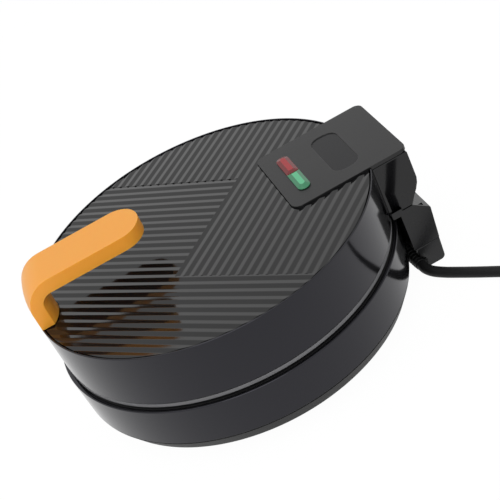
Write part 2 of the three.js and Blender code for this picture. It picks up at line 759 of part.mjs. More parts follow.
// Hollow hinge pin
function hingePinSolid(side) {
  const from = barrel.pinEnd + gap;
  const to = lidBlock.pinReach;
  const [x0, x1] = side > 0 ? [from, to] : [-to, -from];
  const pin = rod(hinge.pinRadius, x0, x1, hinge.y, hinge.height, holeSides);
  return pin.subtract(rod(hinge.pinBore, x0 - overrun, x1 + overrun, hinge.y, hinge.height, screwSides));
}

// Plan of the handle's leg, straight in front and bulging inwards
function legOutline(clearance) {
  const half = handle.halfWidth + clearance;
  const front = -(bodyRadius + clearance);
  const centre = -bodyRadius + leg.bulgeReach - leg.bulgeRadius;
  const reach = leg.bulgeRadius + clearance;
  const points = [[-half, front], [half, front]];
  for (let i = 0; i <= leg.bulgeSteps; i += 1) {
    const x = half - (2 * half * i) / leg.bulgeSteps;
    points.push([x, centre + Math.sqrt(reach * reach - x * x)]);
  }
  return shapeOf(points);
}

// Plan of the bridge plate
function bridgeOutline(clearance) {
  const x = bridge.halfWidth + clearance;
  const front = bridge.front - clearance;
  const rear = bridge.rear + clearance;
  return roundedOutline(-x, x, front, rear, bridge.frontCorner, bridge.rearCorner);
}

function roundedOutline(x0, x1, y0, y1, lowCorner, highCorner) {
  const shape = new THREE.Shape();
  shape.moveTo(x0 + lowCorner, y0);
  shape.lineTo(x1 - lowCorner, y0);
  shape.absarc(x1 - lowCorner, y0 + lowCorner, lowCorner, -Math.PI / 2, 0, false);
  shape.lineTo(x1, y1 - highCorner);
  shape.absarc(x1 - highCorner, y1 - highCorner, highCorner, 0, Math.PI / 2, false);
  shape.lineTo(x0 + highCorner, y1);
  shape.absarc(x0 + highCorner, y1 - highCorner, highCorner, Math.PI / 2, Math.PI, false);
  shape.lineTo(x0, y0 + lowCorner);
  shape.absarc(x0 + lowCorner, y0 + lowCorner, lowCorner, Math.PI, Math.PI * 1.5, false);
  return shape;
}

function handleScrewPlaces() {
  const y = -bodyRadius + leg.screwInset;
  return [[-leg.screwX, y], [leg.screwX, y]];
}

// Lid shell: side wall, thin raised rim, ledge under the panel, lugs for the upper plate
function lidShellSolid() {
  const inner = bodyRadius - lid.wall;
  const mouth = bodyRadius - rim.width;
  let solid = solidOf(turned([
    [lid.lowRadius, lidBottom],
    [bodyRadius, lidTop],
    [mouth, lidTop],
    [mouth, ledgeTop],
    [mouth - rim.ledgeWidth, ledgeTop],
    [mouth - rim.ledgeWidth, ledgeBottom],
    [inner, ledgeBottom],
    [lid.lowRadius - lid.wall, lidBottom],
    [lid.lowRadius, lidBottom],
  ], bodySides));
  solid = addLugs(solid, 1);
  const platform = plan(legOutline(-gap), ledgeBottom + gap, lidTop - gap);
  const insideWall = drum(lid.lowRadius - gap, lid.lowRadius - gap, ledgeBottom, lidTop, bodySides);
  solid = solid.add(platform.intersect(insideWall));
  solid = solid.subtract(plan(legOutline(gap), lidTop - gap, lidTop + overrun));
  solid = solid.subtract(plan(bridgeOutline(gap), bridgeBottom - gap, bridgeTop));
  for (const place of handleScrewPlaces()) {
    const bore = drum(boss.boreRadius, boss.boreRadius, ledgeBottom - overrun, lidTop, screwSides, ...place);
    solid = solid.subtract(bore);
  }
  for (const angle of panelScrewAngles) {
    const hole = panelScrew.bossRadius + gap;
    solid = solid.subtract(drum(hole, hole, ledgeBottom - overrun, ledgeTop + overrun, holeSides,
      ...polar(panelScrew.placeRadius, angle)));
  }
  const opening = barrel.halfWidth + barrel.clearance;
  const room = barrelRoom();
  solid = solid.subtract(box(-opening, opening, hinge.y - room, block.rear, lidBottom - overrun,
    hinge.height + room));
  const inside = block.halfWidth + gap;
  return solid.subtract(lidBlockCore(inside));
}

function barrelRoom() {
  return hinge.barrelRadius + barrel.clearance;
}

// The room that the hinge block of the lid takes out of the lid's wall
function lidBlockCore(halfWidth) {
  return box(-halfWidth, halfWidth, lidBlock.front - gap, block.rear, lidBottom - overrun, bridgeBottom);
}

// Lid side of the hinge: a block under the bridge plate with a knuckle on each side of the barrel
function lidBlockSolid() {
  const bottom = lidBlock.bottom;
  const top = bridgeBottom - gap;
  const low = hinge.y + lidBlock.heel;
  const round = lidCurveShares.map(([across, down]) => [
    low + (block.rear - low) * across,
    lidBlock.shoulder - (lidBlock.shoulder - bottom) * down,
  ]);
  const outline = [
    [lidBlock.front, bottom],
    [low, bottom],
    ...round.reverse(),
    [block.rear, lidBlock.shoulder],
    [block.rear, top],
    [lidBlock.front, top],
  ];
  const inside = block.halfWidth - lidBlock.cheek;
  const cavity = [
    [lidBlock.front + block.wall, bottom - overrun],
    [low, bottom - overrun],
    [block.rear - lidBlock.roundWall, lidBlock.shoulder - lidBlock.shoulderWall],
    [block.rear - block.wall, lidBlock.shoulder],
    [block.rear - block.wall, top - block.wall],
    [lidBlock.front + block.wall, top - block.wall],
  ];
  let solid = profile(outline, -block.halfWidth, block.halfWidth);
  solid = solid.subtract(profile(cavity, -inside, inside));
  const start = barrel.halfWidth + barrel.clearance;
  for (const side of [-1, 1]) {
    const [x0, x1] = side > 0 ? [start, inside + overrun] : [-inside - overrun, -start];
    solid = solid.add(rod(hinge.knuckleRadius, x0, x1, hinge.y, hinge.height, knuckleSides));
    solid = solid.add(box(x0, x1, hinge.y - lidBlock.cheek / 2, hinge.y + lidBlock.cheek / 2,
      hinge.height, top - overrun));
  }
  for (const side of [-1, 1]) {
    const [x0, x1] = side > 0 ? [start - overrun, lidBlock.knuckleEnd] : [-lidBlock.knuckleEnd,
      -start + overrun];
    solid = solid.subtract(rod(hinge.pinRadius + barrel.pinFit, x0, x1, hinge.y, hinge.height, holeSides));
  }
  const plateRoom = plate.radius + gap;
  solid = solid.subtract(drum(plateRoom, plateRoom, bottom - overrun, upperFace + plate.flange + gap,
    bodySides));
  const room = barrelRoom();
  solid = solid.subtract(box(-start, start, lidBlock.front - overrun, block.rear + overrun,
    bottom - overrun, hinge.height + room));
  for (const side of [-1, 1]) {
    solid = solid.subtract(lidBlockCorner(side, bottom, top));
  }
  return solid;
}

// The wedge cut off each front corner of the lid's block
function lidBlockCorner(side, bottom, top) {
  const outer = block.halfWidth + overrun;
  const near = lidBlock.front - overrun;
  const reach = lidBlock.cornerCut + overrun * 2;
  const corners = [[side * outer, near], [side * outer, near + reach], [side * (outer - reach), near]];
  return plan(shapeOf(side > 0 ? corners : corners.reverse()), bottom - overrun, top + overrun);
}

// A row of flutes in section, with the crest of a rib in its middle
function flutes(halfSpan, low, high) {
  const count = Math.ceil(halfSpan / panel.pitch) * 2;
  const start = (-count * panel.pitch) / 2;
  const points = [[start, low]];
  for (let i = 0; i < count; i += 1) {
    const crest = start + i * panel.pitch;
    points.push([crest, high]);
    points.push([crest + panel.pitch / 2, high - panel.ribHeight]);
  }
  points.push([-start, high]);
  points.push([-start, low]);
  return points.reverse();
}

function fluteField(angle, shift, low, high) {
  const span = panelRadius + panel.pitch;
  const outline = shapeOf(flutes(span, low, high));
  const geometry = new THREE.ExtrudeGeometry(outline, { depth: span * 2, bevelEnabled: false });
  geometry.translate(shift, 0, -span);
  geometry.rotateX(Math.PI / 2);
  geometry.rotateZ(angle);
  return solidOf(geometry);
}

function zRegion(far) {
  const reach = panelRadius * zReachShare;
  const overlap = far ? 0 : panel.overlap;
  const middle = zLine.middle + overlap;
  const line = [[-reach, zLine.farStep + overlap], [middle, zLine.farStep + overlap], [middle,
    zLine.nearStep + overlap],
    [reach, zLine.nearStep + overlap]];
  const outline = far ? [...line, [reach, reach], [-reach, reach]] : [[-reach, -reach], [reach,
    -reach], ...line.reverse()];
  const geometry = new THREE.ExtrudeGeometry(shapeOf(outline), { depth: lidTop, bevelEnabled: false });
  geometry.rotateZ(fluteAngle);
  return solidOf(geometry);
}

function lensWindow(clearance, low, high) {
  const half = lens.length / 2 - lens.neck + clearance;
  const side = lens.width / 2 - lens.neck + clearance;
  const corner = side * lensCornerShare;
  return plan(roundedOutline(-half, half, lens.y - side, lens.y + side, corner, corner), low, high);
}

function snapPlaces() {
  return snap.rows.flatMap((y) => [[snap.x, y], [-snap.x, y]]);
}

function panelSolid() {
  const slabTop = bridgeBottom - gap;
  const crest = lidTop - panel.crestDrop;
  const disc = drum(panelRadius, panelRadius, panelBottom, lidTop, bodySides);
  const root = slabTop - panel.thickness / 2;
  const far = fluteField(fluteAngle, zLine.middle, root, crest).intersect(zRegion(true));
  const near = fluteField(fluteAngle + Math.PI / 2, 0, root, crest).intersect(zRegion(false));
  let solid = drum(panelRadius, panelRadius, panelBottom, slabTop, bodySides);
  solid = solid.add(far.add(near).intersect(disc));
  solid = solid.subtract(plan(bridgeOutline(gap), slabTop, lidTop + overrun));
  for (const angle of panelScrewAngles) {
    const place = polar(panelScrew.placeRadius, angle);
    const stub = drum(panelScrew.bossRadius, panelScrew.bossRadius, ledgeBottom + gap, panelBottom + gap,
      holeSides, ...place);
    const bore = drum(boss.boreRadius, boss.boreRadius, ledgeBottom, ledgeBottom + panelScrew.bite + gap,
      screwSides, ...place);
    solid = solid.add(stub).subtract(bore);
  }
  solid = solid.subtract(plan(legOutline(gap), panelBottom - panel.legRoom, lidTop + overrun));
  solid = solid.subtract(lensWindow(gap, panelBottom - overrun, lidTop));
  for (const [x, y] of snapPlaces()) {
    const half = snap.width / 2 + gap;
    const across = snap.thickness / 2 + snap.hook / 2 + gap;
    solid = solid.subtract(box(x - across, x + across, y - half, y + half, panelBottom - overrun, lidTop));
  }
  const back = lidBlock.front - gap * 2;
  const wide = block.halfWidth + gap;
  return solid.subtract(box(-wide, wide, back, panelRadius + overrun, panelBottom - overrun, lidTop));
}

// Bridge plate with snap legs, the bare oval recess and the window for the lamps
function bridgeSolid() {
  let solid = plan(bridgeOutline(0), bridgeBottom, bridgeTop);
  const half = recess.length / 2;
  const side = recess.width / 2;
  const hollow = plan(roundedOutline(-half, half, recess.y - side, recess.y + side, recess.corner,
    recess.corner),
    bridgeTop - recess.depth, bridgeTop + overrun);
  solid = solid.subtract(hollow).subtract(lensWindow(gap, bridgeBottom - overrun, bridgeTop + overrun));
  for (const [x, y] of snapPlaces()) {
    const width = snap.width / 2;
    const thick = snap.thickness / 2;
    const inward = Math.sign(x);
    const hookTop = panelBottom - gap;
    const stalk = box(x - thick, x + thick, y - width, y + width, hookTop - snap.thickness,
      bridgeBottom + overrun);
    const hook = box(x - thick - (inward > 0 ? 0 : snap.hook), x + thick + (inward > 0 ? snap.hook : 0),
      y - width, y + width, hookTop - snap.thickness, hookTop);
    solid = solid.add(stalk).add(hook);
  }
  return solid;
}

// One half of the lamp capsule: a bevelled cap on the plate and a neck down through its window
function lensSolid(side) {
  const reach = lens.length / 2 - lens.bevel;
  const half = lens.width / 2 - lens.bevel;
  const start = gap / 2 + lens.bevel;
  const capShape = new THREE.Shape();
  capShape.moveTo(start, -half);
  capShape.lineTo(reach - half, -half);
  capShape.absarc(reach - half, 0, half, -Math.PI / 2, Math.PI / 2, false);
  capShape.lineTo(start, half);
  const thickness = lens.height - gap - lens.bevel - lens.bevel / 2;
  const cap = new THREE.ExtrudeGeometry(capShape, {
    depth: thickness,
    bevelThickness: lens.bevel,
    bevelSize: lens.bevel,
    bevelSegments: 1,
    curveSegments: cornerSteps,
  });
  if (side < 0) {
    cap.rotateZ(Math.PI);
  }
  cap.translate(0, lens.y, bridgeTop + gap + lens.bevel / 2);
  const capBottom = bridgeTop + gap;
  const span = lens.length;
  const above = box(-span, span, lens.y - lens.width, lens.y + lens.width, capBottom,
    bridgeTop + lens.height);
  const keep = side > 0 ? [gap / 2, span] : [-span, -gap / 2];
  const neck = lensWindow(0, capBottom - lens.neckDepth, capBottom + lens.bevel)
    .intersect(box(...keep, lens.y - lens.width, lens.y + lens.width, 0, bridgeTop + lens.height));
  return solidOf(cap).intersect(above).add(neck);
}

// Lamps and their tray
function traySolid() {
  const y = lens.width / 2 + tray.wall + tray.clearance;
  const outer = box(-tray.halfLength, tray.halfLength, lens.y - y, lens.y + y, trayBottom, panelBottom - gap);
  const length = tray.halfLength - tray.wall;
  const inner = box(-length, length, lens.y - y + tray.wall, lens.y + y - tray.wall,
    trayBottom + tray.wall, panelBottom);
  return outer.subtract(inner);
}

function lampSolid(side) {
  const [x0, x1] = side > 0 ? [lamp.start, lamp.end] : [-lamp.end, -lamp.start];
  return rod(lamp.radius, x0, x1, lens.y, lampHeight, holeSides);
}

// Handle
function handleSolid() {
  const front = -bodyRadius;
  const top = lidTop + handle.top;
  const under = top - handle.thickness;
  const tip = front + handle.reach;
  const inner = front + leg.thickness;
  const outerCentre = [front + handle.outerBend, top - handle.outerBend];
  const innerCentre = [inner + handle.innerBend, under - handle.innerBend];
  const bend = (centre, radius, from, to) => Array.from({ length: bendSteps + 1 }, (_, i) => {
    const angle = from + ((to - from) * i) / bendSteps;
    return [centre[0] + radius * Math.cos(angle), centre[1] + radius * Math.sin(angle)];
  });
  const outline = [
    [front, lidTop],
    [inner, lidTop],
    ...bend(innerCentre, handle.innerBend, Math.PI, Math.PI / 2),
    [tip, under],
    [tip, top],
    ...bend(outerCentre, handle.outerBend, Math.PI / 2, Math.PI),
  ];
  let solid = profile(outline, -handle.halfWidth, handle.halfWidth);
  const bulge = plan(legOutline(0), lidTop, under + handle.thickness / 2);
  solid = solid.add(bulge);
  const shape = new THREE.Shape();
  shape.moveTo(-handle.halfWidth, front - overrun);
  shape.lineTo(handle.halfWidth, front - overrun);
  shape.lineTo(handle.halfWidth, tip - handle.tipLength);
  shape.absellipse(0, tip - handle.tipLength, handle.halfWidth, handle.tipLength, 0, Math.PI, false);
  solid = solid.intersect(plan(shape, lidTop, top));
  solid = solid.intersect(drum(bodyRadius, bodyRadius, lidTop - overrun, top + overrun, bodySides * 2));
  for (const place of handleScrewPlaces()) {
    solid = solid.subtract(drum(boss.boreRadius, boss.boreRadius, lidTop - overrun, lidTop + leg.boreHeight,
      screwSides, ...place));
  }
  return solid;
}

// Thermal fuse under the lower reflector
function fuseSolid() {
  const z = behind(-1, reflectorDepth + reflector.thickness) - gap - fuse.radius;
  return rod(fuse.radius, -fuse.halfLength, fuse.halfLength, fuse.y, z, screwSides);
}

// Leads: mains to the terminals, the feed up into the hinge, and the lid's own lead from the hinge axis on
function mainsLead() {
  const floor = coverBottom + cover.wall;
  const start = rearCover.armX - gap - boot.flange - gap;
  const low = rearCover.floor + rearCover.chamberFloor + gap * 2 + lead.mainsRadius;
  const high = floor + terminals.height / 2;
  const span = leadGate.rear - leadGate.front;
  return tube(smoothCurve([
    [start, boot.y, boot.z],
    [0, boot.y, (boot.z + low) / 2],
    [leadGate.x + lead.mainsRadius, leadGate.rear + lead.mainsRadius, low],
    [leadGate.x, leadGate.rear - lead.mainsRadius, low + gap],
    [leadGate.x, leadGate.front + span / 2, coverBottom + cover.wall / 2],
    [leadGate.x, leadGate.front, floor + lead.mainsRadius],
    [-lead.terminalX, (leadGate.front + terminals.rear) / 2, high],
    [-lead.terminalX, terminals.rear + gap, high],
  ]), lead.mainsRadius, lead.sides, lead.mainsSteps);
}

function hingeFeed() {
  const floor = coverBottom + cover.wall;
  const gate = baseBottom + post.top + barrel.channel;
  const aside = post.radius + lead.radius * 2;
  return tube(smoothCurve([
    [0, hinge.y, hinge.height - lead.radius - gap * 2],
    [0, hinge.y, gate + barrel.channel * 4],
    [0, hinge.y - barrel.channel, gate + barrel.channel],
    [0, base.lowRadius - barrel.channel, gate],
    [aside / 2, post.placeRadius + post.radius * 2, gate],
    [aside, post.placeRadius - post.radius, gate - lead.radius * 2],
    [lead.terminalX, terminals.rear + lead.radius * 2, floor + terminals.feedHeight],
    [lead.terminalX, terminals.rear + gap, floor + terminals.feedHeight],
  ]), lead.radius, lead.sides, lead.feedSteps);
}

function lidLeadSolid() {
  const high = trayBottom + tray.wall * 3;
  const trayRear = lens.y + lens.width / 2 + tray.wall + tray.clearance;
  const path = smoothCurve([
    [0, hinge.y, hinge.height],
    [0, base.lowRadius - barrel.channel, hinge.height],
    [0, boss.placeRadius + barrel.channel, hinge.height + lead.radius],
    [0, (boss.placeRadius + trayRear) / 2, high],
    [0, trayRear + gap, high],
  ]);
  const round = ball(lead.radius, 0, hinge.y, hinge.height, lead.sides, lead.sides);
  return solidOf(tube(path, lead.radius, lead.sides, lead.lidSteps)).add(round);
}

// Mains cord: the coil turns round its own centre, and cord and tail leave it along the entry's tangent
const cordDirection = coil.entryAngle + Math.PI / 2;
const coilLow = cord.radius + tie.thickness + gap + tie.slack;

function coilCentre() {
  const [x, y] = polar(coil.outerRadius, coil.entryAngle);
  return [coil.entryX - x, coil.entryY - y];
}

// One unbroken spiral: in along the table, up a layer where it turns back, and out again above
function coilPoints() {
  const [cx, cy] = coilCentre();
  const count = coil.turns * cord.stepsPerLoop;
  const climbStart = (coil.turns - coil.climbTurns) / 2;
  const straight = cord.radius * 2;
  const along = polar(straight, cordDirection);
  const points = Array.from({ length: count + 1 }, (_, i) => {
    const turn = i / cord.stepsPerLoop;
    const radius = coil.outerRadius - coil.pitch * Math.min(turn, coil.turns - turn);
    const climb = THREE.MathUtils.clamp((turn - climbStart) / coil.climbTurns, 0, 1);
    const [x, y] = polar(radius, coil.entryAngle + turn * fullTurn);
    return [cx + x, cy + y, coilLow + coil.pitch * climb];
  });
  const first = points[0];
  const last = points[count];
  points.unshift([first[0] - along[0], first[1] - along[1], first[2]]);
  points.push([last[0] + along[0], last[1] + along[1], last[2]]);
  return points;
}

function leastCoilGap(points) {
  const vectors = points.map((p) => new THREE.Vector3(...p));
  let least = Infinity;
  for (let i = 0; i < vectors.length; i += 1) {
    for (let j = i + cord.stepsPerLoop / 2; j < vectors.length; j += 1) {
      const start = vectors[i];
      const line = new THREE.Line3(vectors[j], vectors[Math.min(j + 1, vectors.length - 1)]);
      const near = line.closestPointToPoint(start, true, new THREE.Vector3());
      least = Math.min(least, near.distanceTo(start));
    }
  }
  return least - cord.radius * 2;
}

function tieSolid() {
  const [cx, cy] = coilCentre();
  const middleRadius = coil.outerRadius - coil.pitch / 2;
  const room = cord.radius + tie.slack;
  const inner = middleRadius - coil.pitch - room;
  const outer = middleRadius + room;
  const low = coilLow - room;
  const high = coilLow + coil.pitch + room;
  const ring = (grow, width) => {
    const geometry = new THREE.BoxGeometry(outer - inner + grow * 2, width, high - low + grow * 2);
    geometry.translate((inner + outer) / 2, 0, (low + high) / 2);
    geometry.rotateZ(coil.entryAngle + Math.PI);
    geometry.translate(cx, cy, 0);
    return solidOf(geometry);
  };
  return ring(tie.thickness, tie.width).subtract(ring(0, tie.width * 2));
}

// The plug's axis lies along the cord's last direction
function plugPlace(along, across) {
  const last = coilPoints().at(-1);
  const [dx, dy] = polar(cord.tailReach + along, cordDirection);
  const [sx, sy] = polar(across, cordDirection + Math.PI / 2);
  return [last[0] + dx + sx, last[1] + dy + sy];
}

function lieAlongCord(geometry, along, across) {
  geometry.rotateY(Math.PI / 2);
  geometry.rotateZ(cordDirection);
  geometry.translate(...plugPlace(along, across), plugHeight);
  return geometry;
}

function plugGeometry() {
  const body = plug.reliefLength + plug.bodyLength;
  const end = body + plug.faceLength;
  return lieAlongCord(turned([
    [0, 0],
    [plug.reliefRadius, 0],
    [plug.tailRadius, plug.reliefLength],
    [plug.neckRadius, plug.reliefLength],
    [plug.shoulderRadius, body],
    [plug.faceRadius, body],
    [plug.faceRadius, end],
    [0, end],
  ], plugSides), 0, 0);
}

function plugPinGeometry(side) {
  const start = plug.reliefLength + plug.bodyLength + plug.faceLength + gap;
  return lieAlongCord(turned([
    [0, start],
    [plugPin.radius, start],
    [plugPin.radius, start + plugPin.length],
    [0, start + plugPin.length],
  ], screwSides), 0, (side * plugPin.spacing) / 2);
}

function cordGeometry() {
  const end = coilPoints()[0];
  const [dx, dy] = polar(gap, cordDirection);
  const points = [...cordPoints, [end[0] - dx, end[1] - dy, end[2]]];
  return tube(smoothCurve(points), cord.radius, cord.sides, cord.steps);
}

function tailGeometry() {
  const start = coilPoints().at(-1);
  const [dx, dy] = polar(gap, cordDirection);
  const [ex, ey] = plugPlace(-gap, 0);
  const bend = [(ex - start[0]) * tailShares.bend, (ey - start[1]) * tailShares.bend];
  const rise = (plugHeight - start[2]) * tailShares.rise;
  return tube(smoothCurve([
    [start[0] + dx, start[1] + dy, start[2]],
    [start[0] + bend[0], start[1] + bend[1], start[2] + rise],
    [ex - bend[0], ey - bend[1], plugHeight - rise],
    [ex, ey, plugHeight],
  ]), cord.radius, cord.sides, cord.tailSteps);
}

// Assembly: the base stands still, and the lid turns about the hinge axis
const machine = new THREE.Group();
const baseGroup = new THREE.Group();
const lidGroup = new THREE.Group();
machine.add(baseGroup, lidGroup);

function addPlateSet(parent, side, word) {
  add(parent, `${word}_plate`, bakingPlate(side), coating);
  add(parent, `${word}_heating_element`, elementGeometry(side), steel);
  add(parent, `${word}_reflector`, reflectorSolid(side), steel);
  clampAngles.forEach((angle, i) => {
    add(parent, `${word}_element_clamp_${i + 1}`, clampSolid(side, angle), steel);
  });
  const shank = headDepth - boss.depth + screw.bite;
  fixingAngles.forEach((angle, i) => {
    const mesh = add(parent, `${word}_plate_screw_${i + 1}`, screwGeometry(shank), steel);
    mesh.position.set(...polar(boss.placeRadius, angle), behind(side, headDepth));
    mesh.rotation.x = side < 0 ? 0 : Math.PI;
  });
}

addPlateSet(baseGroup, -1, "lower");
add(baseGroup, "base_shell", baseShellSolid(), glossBlack);
add(baseGroup, "bottom_cover", bottomCoverSolid(), glossBlack);
add(baseGroup, "base_hinge_housing", housingSolid(), glossBlack);
add(baseGroup, "rear_housing_cover", rearCoverSolid(), glossBlack);
add(baseGroup, "thermostat", thermostatGeometry(), ceramic);
add(baseGroup, "thermal_fuse", fuseSolid(), ceramic);
const terminalFloor = coverBottom + cover.wall + gap;
add(baseGroup, "terminal_block", box(-terminals.halfWidth, terminals.halfWidth, terminals.front,
  terminals.rear,
  terminalFloor, terminalFloor + terminals.height), ceramic);
add(baseGroup, "mains_lead", mainsLead(), rubber);
add(baseGroup, "hinge_feed_lead", hingeFeed(), rubber);

coverAngles.forEach((angle, i) => {
  const mesh = add(baseGroup, `bottom_cover_screw_${i + 1}`, screwGeometry(screw.bite), steel);
  mesh.position.set(...polar(post.placeRadius, angle), coverBottom + sink.floor - gap);
});
footPlaces().forEach(([x, y], i) => {
  const mesh = add(baseGroup, `rubber_foot_${i + 1}`, footGeometry(), rubber);
  mesh.position.set(x, y, 0);
});
[-1, 1].forEach((side, i) => {
  const mesh = add(baseGroup, `housing_screw_${i + 1}`, screwGeometry(screw.bite), steel);
  const wall = Math.sqrt((base.lowRadius - base.wall) ** 2 - (housingScrew.x + screw.headRadius) ** 2);
  mesh.rotation.x = -Math.PI / 2;
  mesh.position.set(side * housingScrew.x, wall - gap, housingScrew.height);
  add(baseGroup, `hinge_pin_${i + 1}`, hingePinSolid(side), steel);
});
add(baseGroup, "cord_strain_relief", bootGeometry(), rubber);
add(baseGroup, "power_cord", cordGeometry(), rubber);
const wound = coilPoints();
console.log(`least gap of the coil to itself: ${leastCoilGap(wound).toFixed(2)} mm`);
add(baseGroup, "cord_coil", tube(smoothCurve(wound), cord.radius, cord.coilSides, wound.length - 1), rubber);
add(baseGroup, "cord_tail", tailGeometry(), rubber);
add(baseGroup, "cord_tie", tieSolid(), rubber);
add(baseGroup, "plug_body", plugGeometry(), rubber);
[-1, 1].forEach((side, i) => {
  add(baseGroup, `plug_pin_${i + 1}`, plugPinGeometry(side), brass);
});

addPlateSet(lidGroup, 1, "upper");
add(lidGroup, "lid_shell", lidShellSolid(), glossBlack);
add(lidGroup, "ribbed_panel", panelSolid(), ribGrey);
add(lidGroup, "bridge_plate", bridgeSolid(), satinGrey);
add(lidGroup, "lid_hinge_block", lidBlockSolid(), glossBlack);
add(lidGroup, "red_lens", lensSolid(-1), redLens);
add(lidGroup, "green_lens", lensSolid(1), greenLens);
add(lidGroup, "red_lamp", lampSolid(-1), glass);
add(lidGroup, "green_lamp", lampSolid(1), glass);
add(lidGroup, "lamp_tray", traySolid(), ceramic);
add(lidGroup, "lid_lead", lidLeadSolid(), rubber);
add(lidGroup, "handle", handleSolid(), orange);
handleScrewPlaces().forEach(([x, y], i) => {
  const mesh = add(lidGroup, `handle_screw_${i + 1}`, screwGeometry(lidTop - ledgeBottom + screw.bite),
    steel);
  mesh.position.set(x, y, ledgeBottom - gap);
});
panelScrewAngles.forEach((angle, i) => {
  const mesh = add(lidGroup, `panel_screw_${i + 1}`, screwGeometry(panelScrew.bite), steel);
  mesh.position.set(...polar(panelScrew.placeRadius, angle), ledgeBottom - gap);
});

// The part's origin is the middle of its footprint without the cord
machine.position.y = -(block.slopeRear - base.topRadius) / 2;
const cakePopMaker = new THREE.Group();
cakePopMaker.add(machine);

export default cakePopMaker;
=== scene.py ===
"""Cake pop maker: the finished look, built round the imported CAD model.

Sizes inside this file are in millimetres on the round body's own axis, and are turned
into metres in the part's frame by the function `spot`.
"""

import json
import math
from contextlib import contextmanager

import bpy
import bmesh
import numpy as np
from mathutils import Matrix, Vector


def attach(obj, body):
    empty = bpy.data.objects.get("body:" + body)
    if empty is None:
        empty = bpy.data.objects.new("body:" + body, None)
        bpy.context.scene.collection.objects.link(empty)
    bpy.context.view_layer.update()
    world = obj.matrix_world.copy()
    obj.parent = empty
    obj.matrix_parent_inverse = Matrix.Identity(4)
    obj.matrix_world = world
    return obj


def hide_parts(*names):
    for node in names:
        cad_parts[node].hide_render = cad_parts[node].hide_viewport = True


bl_info = {
    "name": "Cake Pop Maker",
    "version": (1, 0, 0),
    "blender": (4, 5, 0),
    "location": "View3D > Sidebar > Cake Pop Maker",
    "description": "Builds a round cake pop maker with a hinged lid, piece by piece",
    "category": "Add Mesh",
}

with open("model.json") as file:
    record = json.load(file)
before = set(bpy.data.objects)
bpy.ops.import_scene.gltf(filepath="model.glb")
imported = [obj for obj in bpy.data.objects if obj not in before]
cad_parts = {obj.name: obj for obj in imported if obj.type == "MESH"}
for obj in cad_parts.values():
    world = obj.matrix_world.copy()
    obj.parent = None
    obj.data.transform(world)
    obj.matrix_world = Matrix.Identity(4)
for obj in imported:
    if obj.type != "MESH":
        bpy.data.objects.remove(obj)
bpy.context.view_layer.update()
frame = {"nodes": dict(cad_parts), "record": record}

# Frame of the sizes

MM = 0.001
AXIS_Y = -8.3
ROUND_SIDES = 256
EDGE_STEPS = 5
SHARP_ANGLE = 35
QUARTER = math.pi / 2
FULL_TURN = math.pi * 2

# Levels and places shared by several pieces, in millimetres

COVER_BOTTOM, COVER_TOP = 7.2, 16.4
BASE_BOTTOM, BASE_TOP = 16.7, 44.0
LOWER_FACE, UPPER_FACE = 45.15, 45.45
FLANGE = 2.15
LID_BOTTOM, LID_TOP = 48.5, 84.5
LEDGE_BOTTOM, LEDGE_TOP = 78.6, 80.6
PANEL_BOTTOM, SLAB_TOP, CREST_TOP = 80.9, 82.5, 84.2
BRIDGE_BOTTOM, BRIDGE_TOP = 82.8, 85.3
PANEL_RADIUS = 108.1
HANDLE_TOP = LID_TOP + 28.9
HINGE_Y, HINGE_Z = 115.5, 60.3
BLOCK_HALF = 36.0
GAP = 0.3
FIXING_ANGLES = [-QUARTER + i * FULL_TURN / 3 for i in range(3)]
LID_RADIUS = 110.0
LEG_HALF, LEG_BULGE = 16.5, 27
LEG_CENTRE = -LID_RADIUS + 15 - LEG_BULGE
CORD_EXIT_Y, CORD_EXIT_Z = 109.5, 5.4
BARREL_ROOM_HALF, BARREL_ROOM = 20.7, 10.2
BEHIND = 130
SIDES = (-1, 1)


def spot(x, y, z):
    """A place given in millimetres on the body's axis, as metres in the part's frame."""
    return (x * MM, (y + AXIS_Y) * MM, z * MM)


def polar(radius, angle):
    return radius * math.cos(angle), radius * math.sin(angle)


def arc(radius, start, sweep, steps):
    """Points along an arc about the origin, both ends included."""
    return [polar(radius, start + sweep * k / steps) for k in range(steps + 1)]


def circle(radius, count, start=0.0):
    """Evenly spaced points on a circle about the origin."""
    return [polar(radius, start + FULL_TURN * k / count) for k in range(count)]


def span(side, near, far):
    """Two distances to one side of the middle, the lower value first."""
    return sorted((side * near, side * far))


TO_AXIS = Matrix.Translation(spot(0, 0, 0))
TO_ORIGIN = Matrix.Translation((0, -AXIS_Y * MM, 0))


def linear(code):
    """A written colour such as 'ee9a3c', as the linear values that Blender's sockets take."""
    parts = [int(code[i:i + 2], 16) / 255 for i in (0, 2, 4)]
    return tuple(c / 12.92 if c <= 0.04045 else ((c + 0.055) / 1.055) ** 2.4 for c in parts)


# Settings that a user would change


def colour_setting(name, description, code):
    return bpy.props.FloatVectorProperty(
        name=name, description=description, subtype="COLOR", size=3, min=0, max=1, default=linear(code))


def length_setting(name, description, millimetres, least=0.0):
    return bpy.props.FloatProperty(
        name=name, description=description, subtype="DISTANCE", unit="LENGTH",
        default=millimetres * MM, min=least * MM)


class BodySettings(bpy.types.PropertyGroup):
    """Sizes and colours of the lid, the base and the hinge blocks."""

    black: colour_setting("Black", "Plastic of the lid's wall, the base and the hinge blocks", "0c0c0e")
    ribbed: colour_setting("Ribbed grey", "Plastic of the ribbed panel in the lid", "0d0d0e")
    satin: colour_setting("Satin grey", "Plastic of the plate over the hinge side of the lid", "131314")
    edge: length_setting("Edge", "Rounding of the outer edges of the mouldings", 0.8, 0.1)
    rib_pitch: length_setting("Rib pitch", "Distance from one rib of the panel to the next", 6.25, 3.0)
    rib_height: length_setting("Rib height", "Height of a rib's ridge over the valleys beside it", 0.52, 0.1)


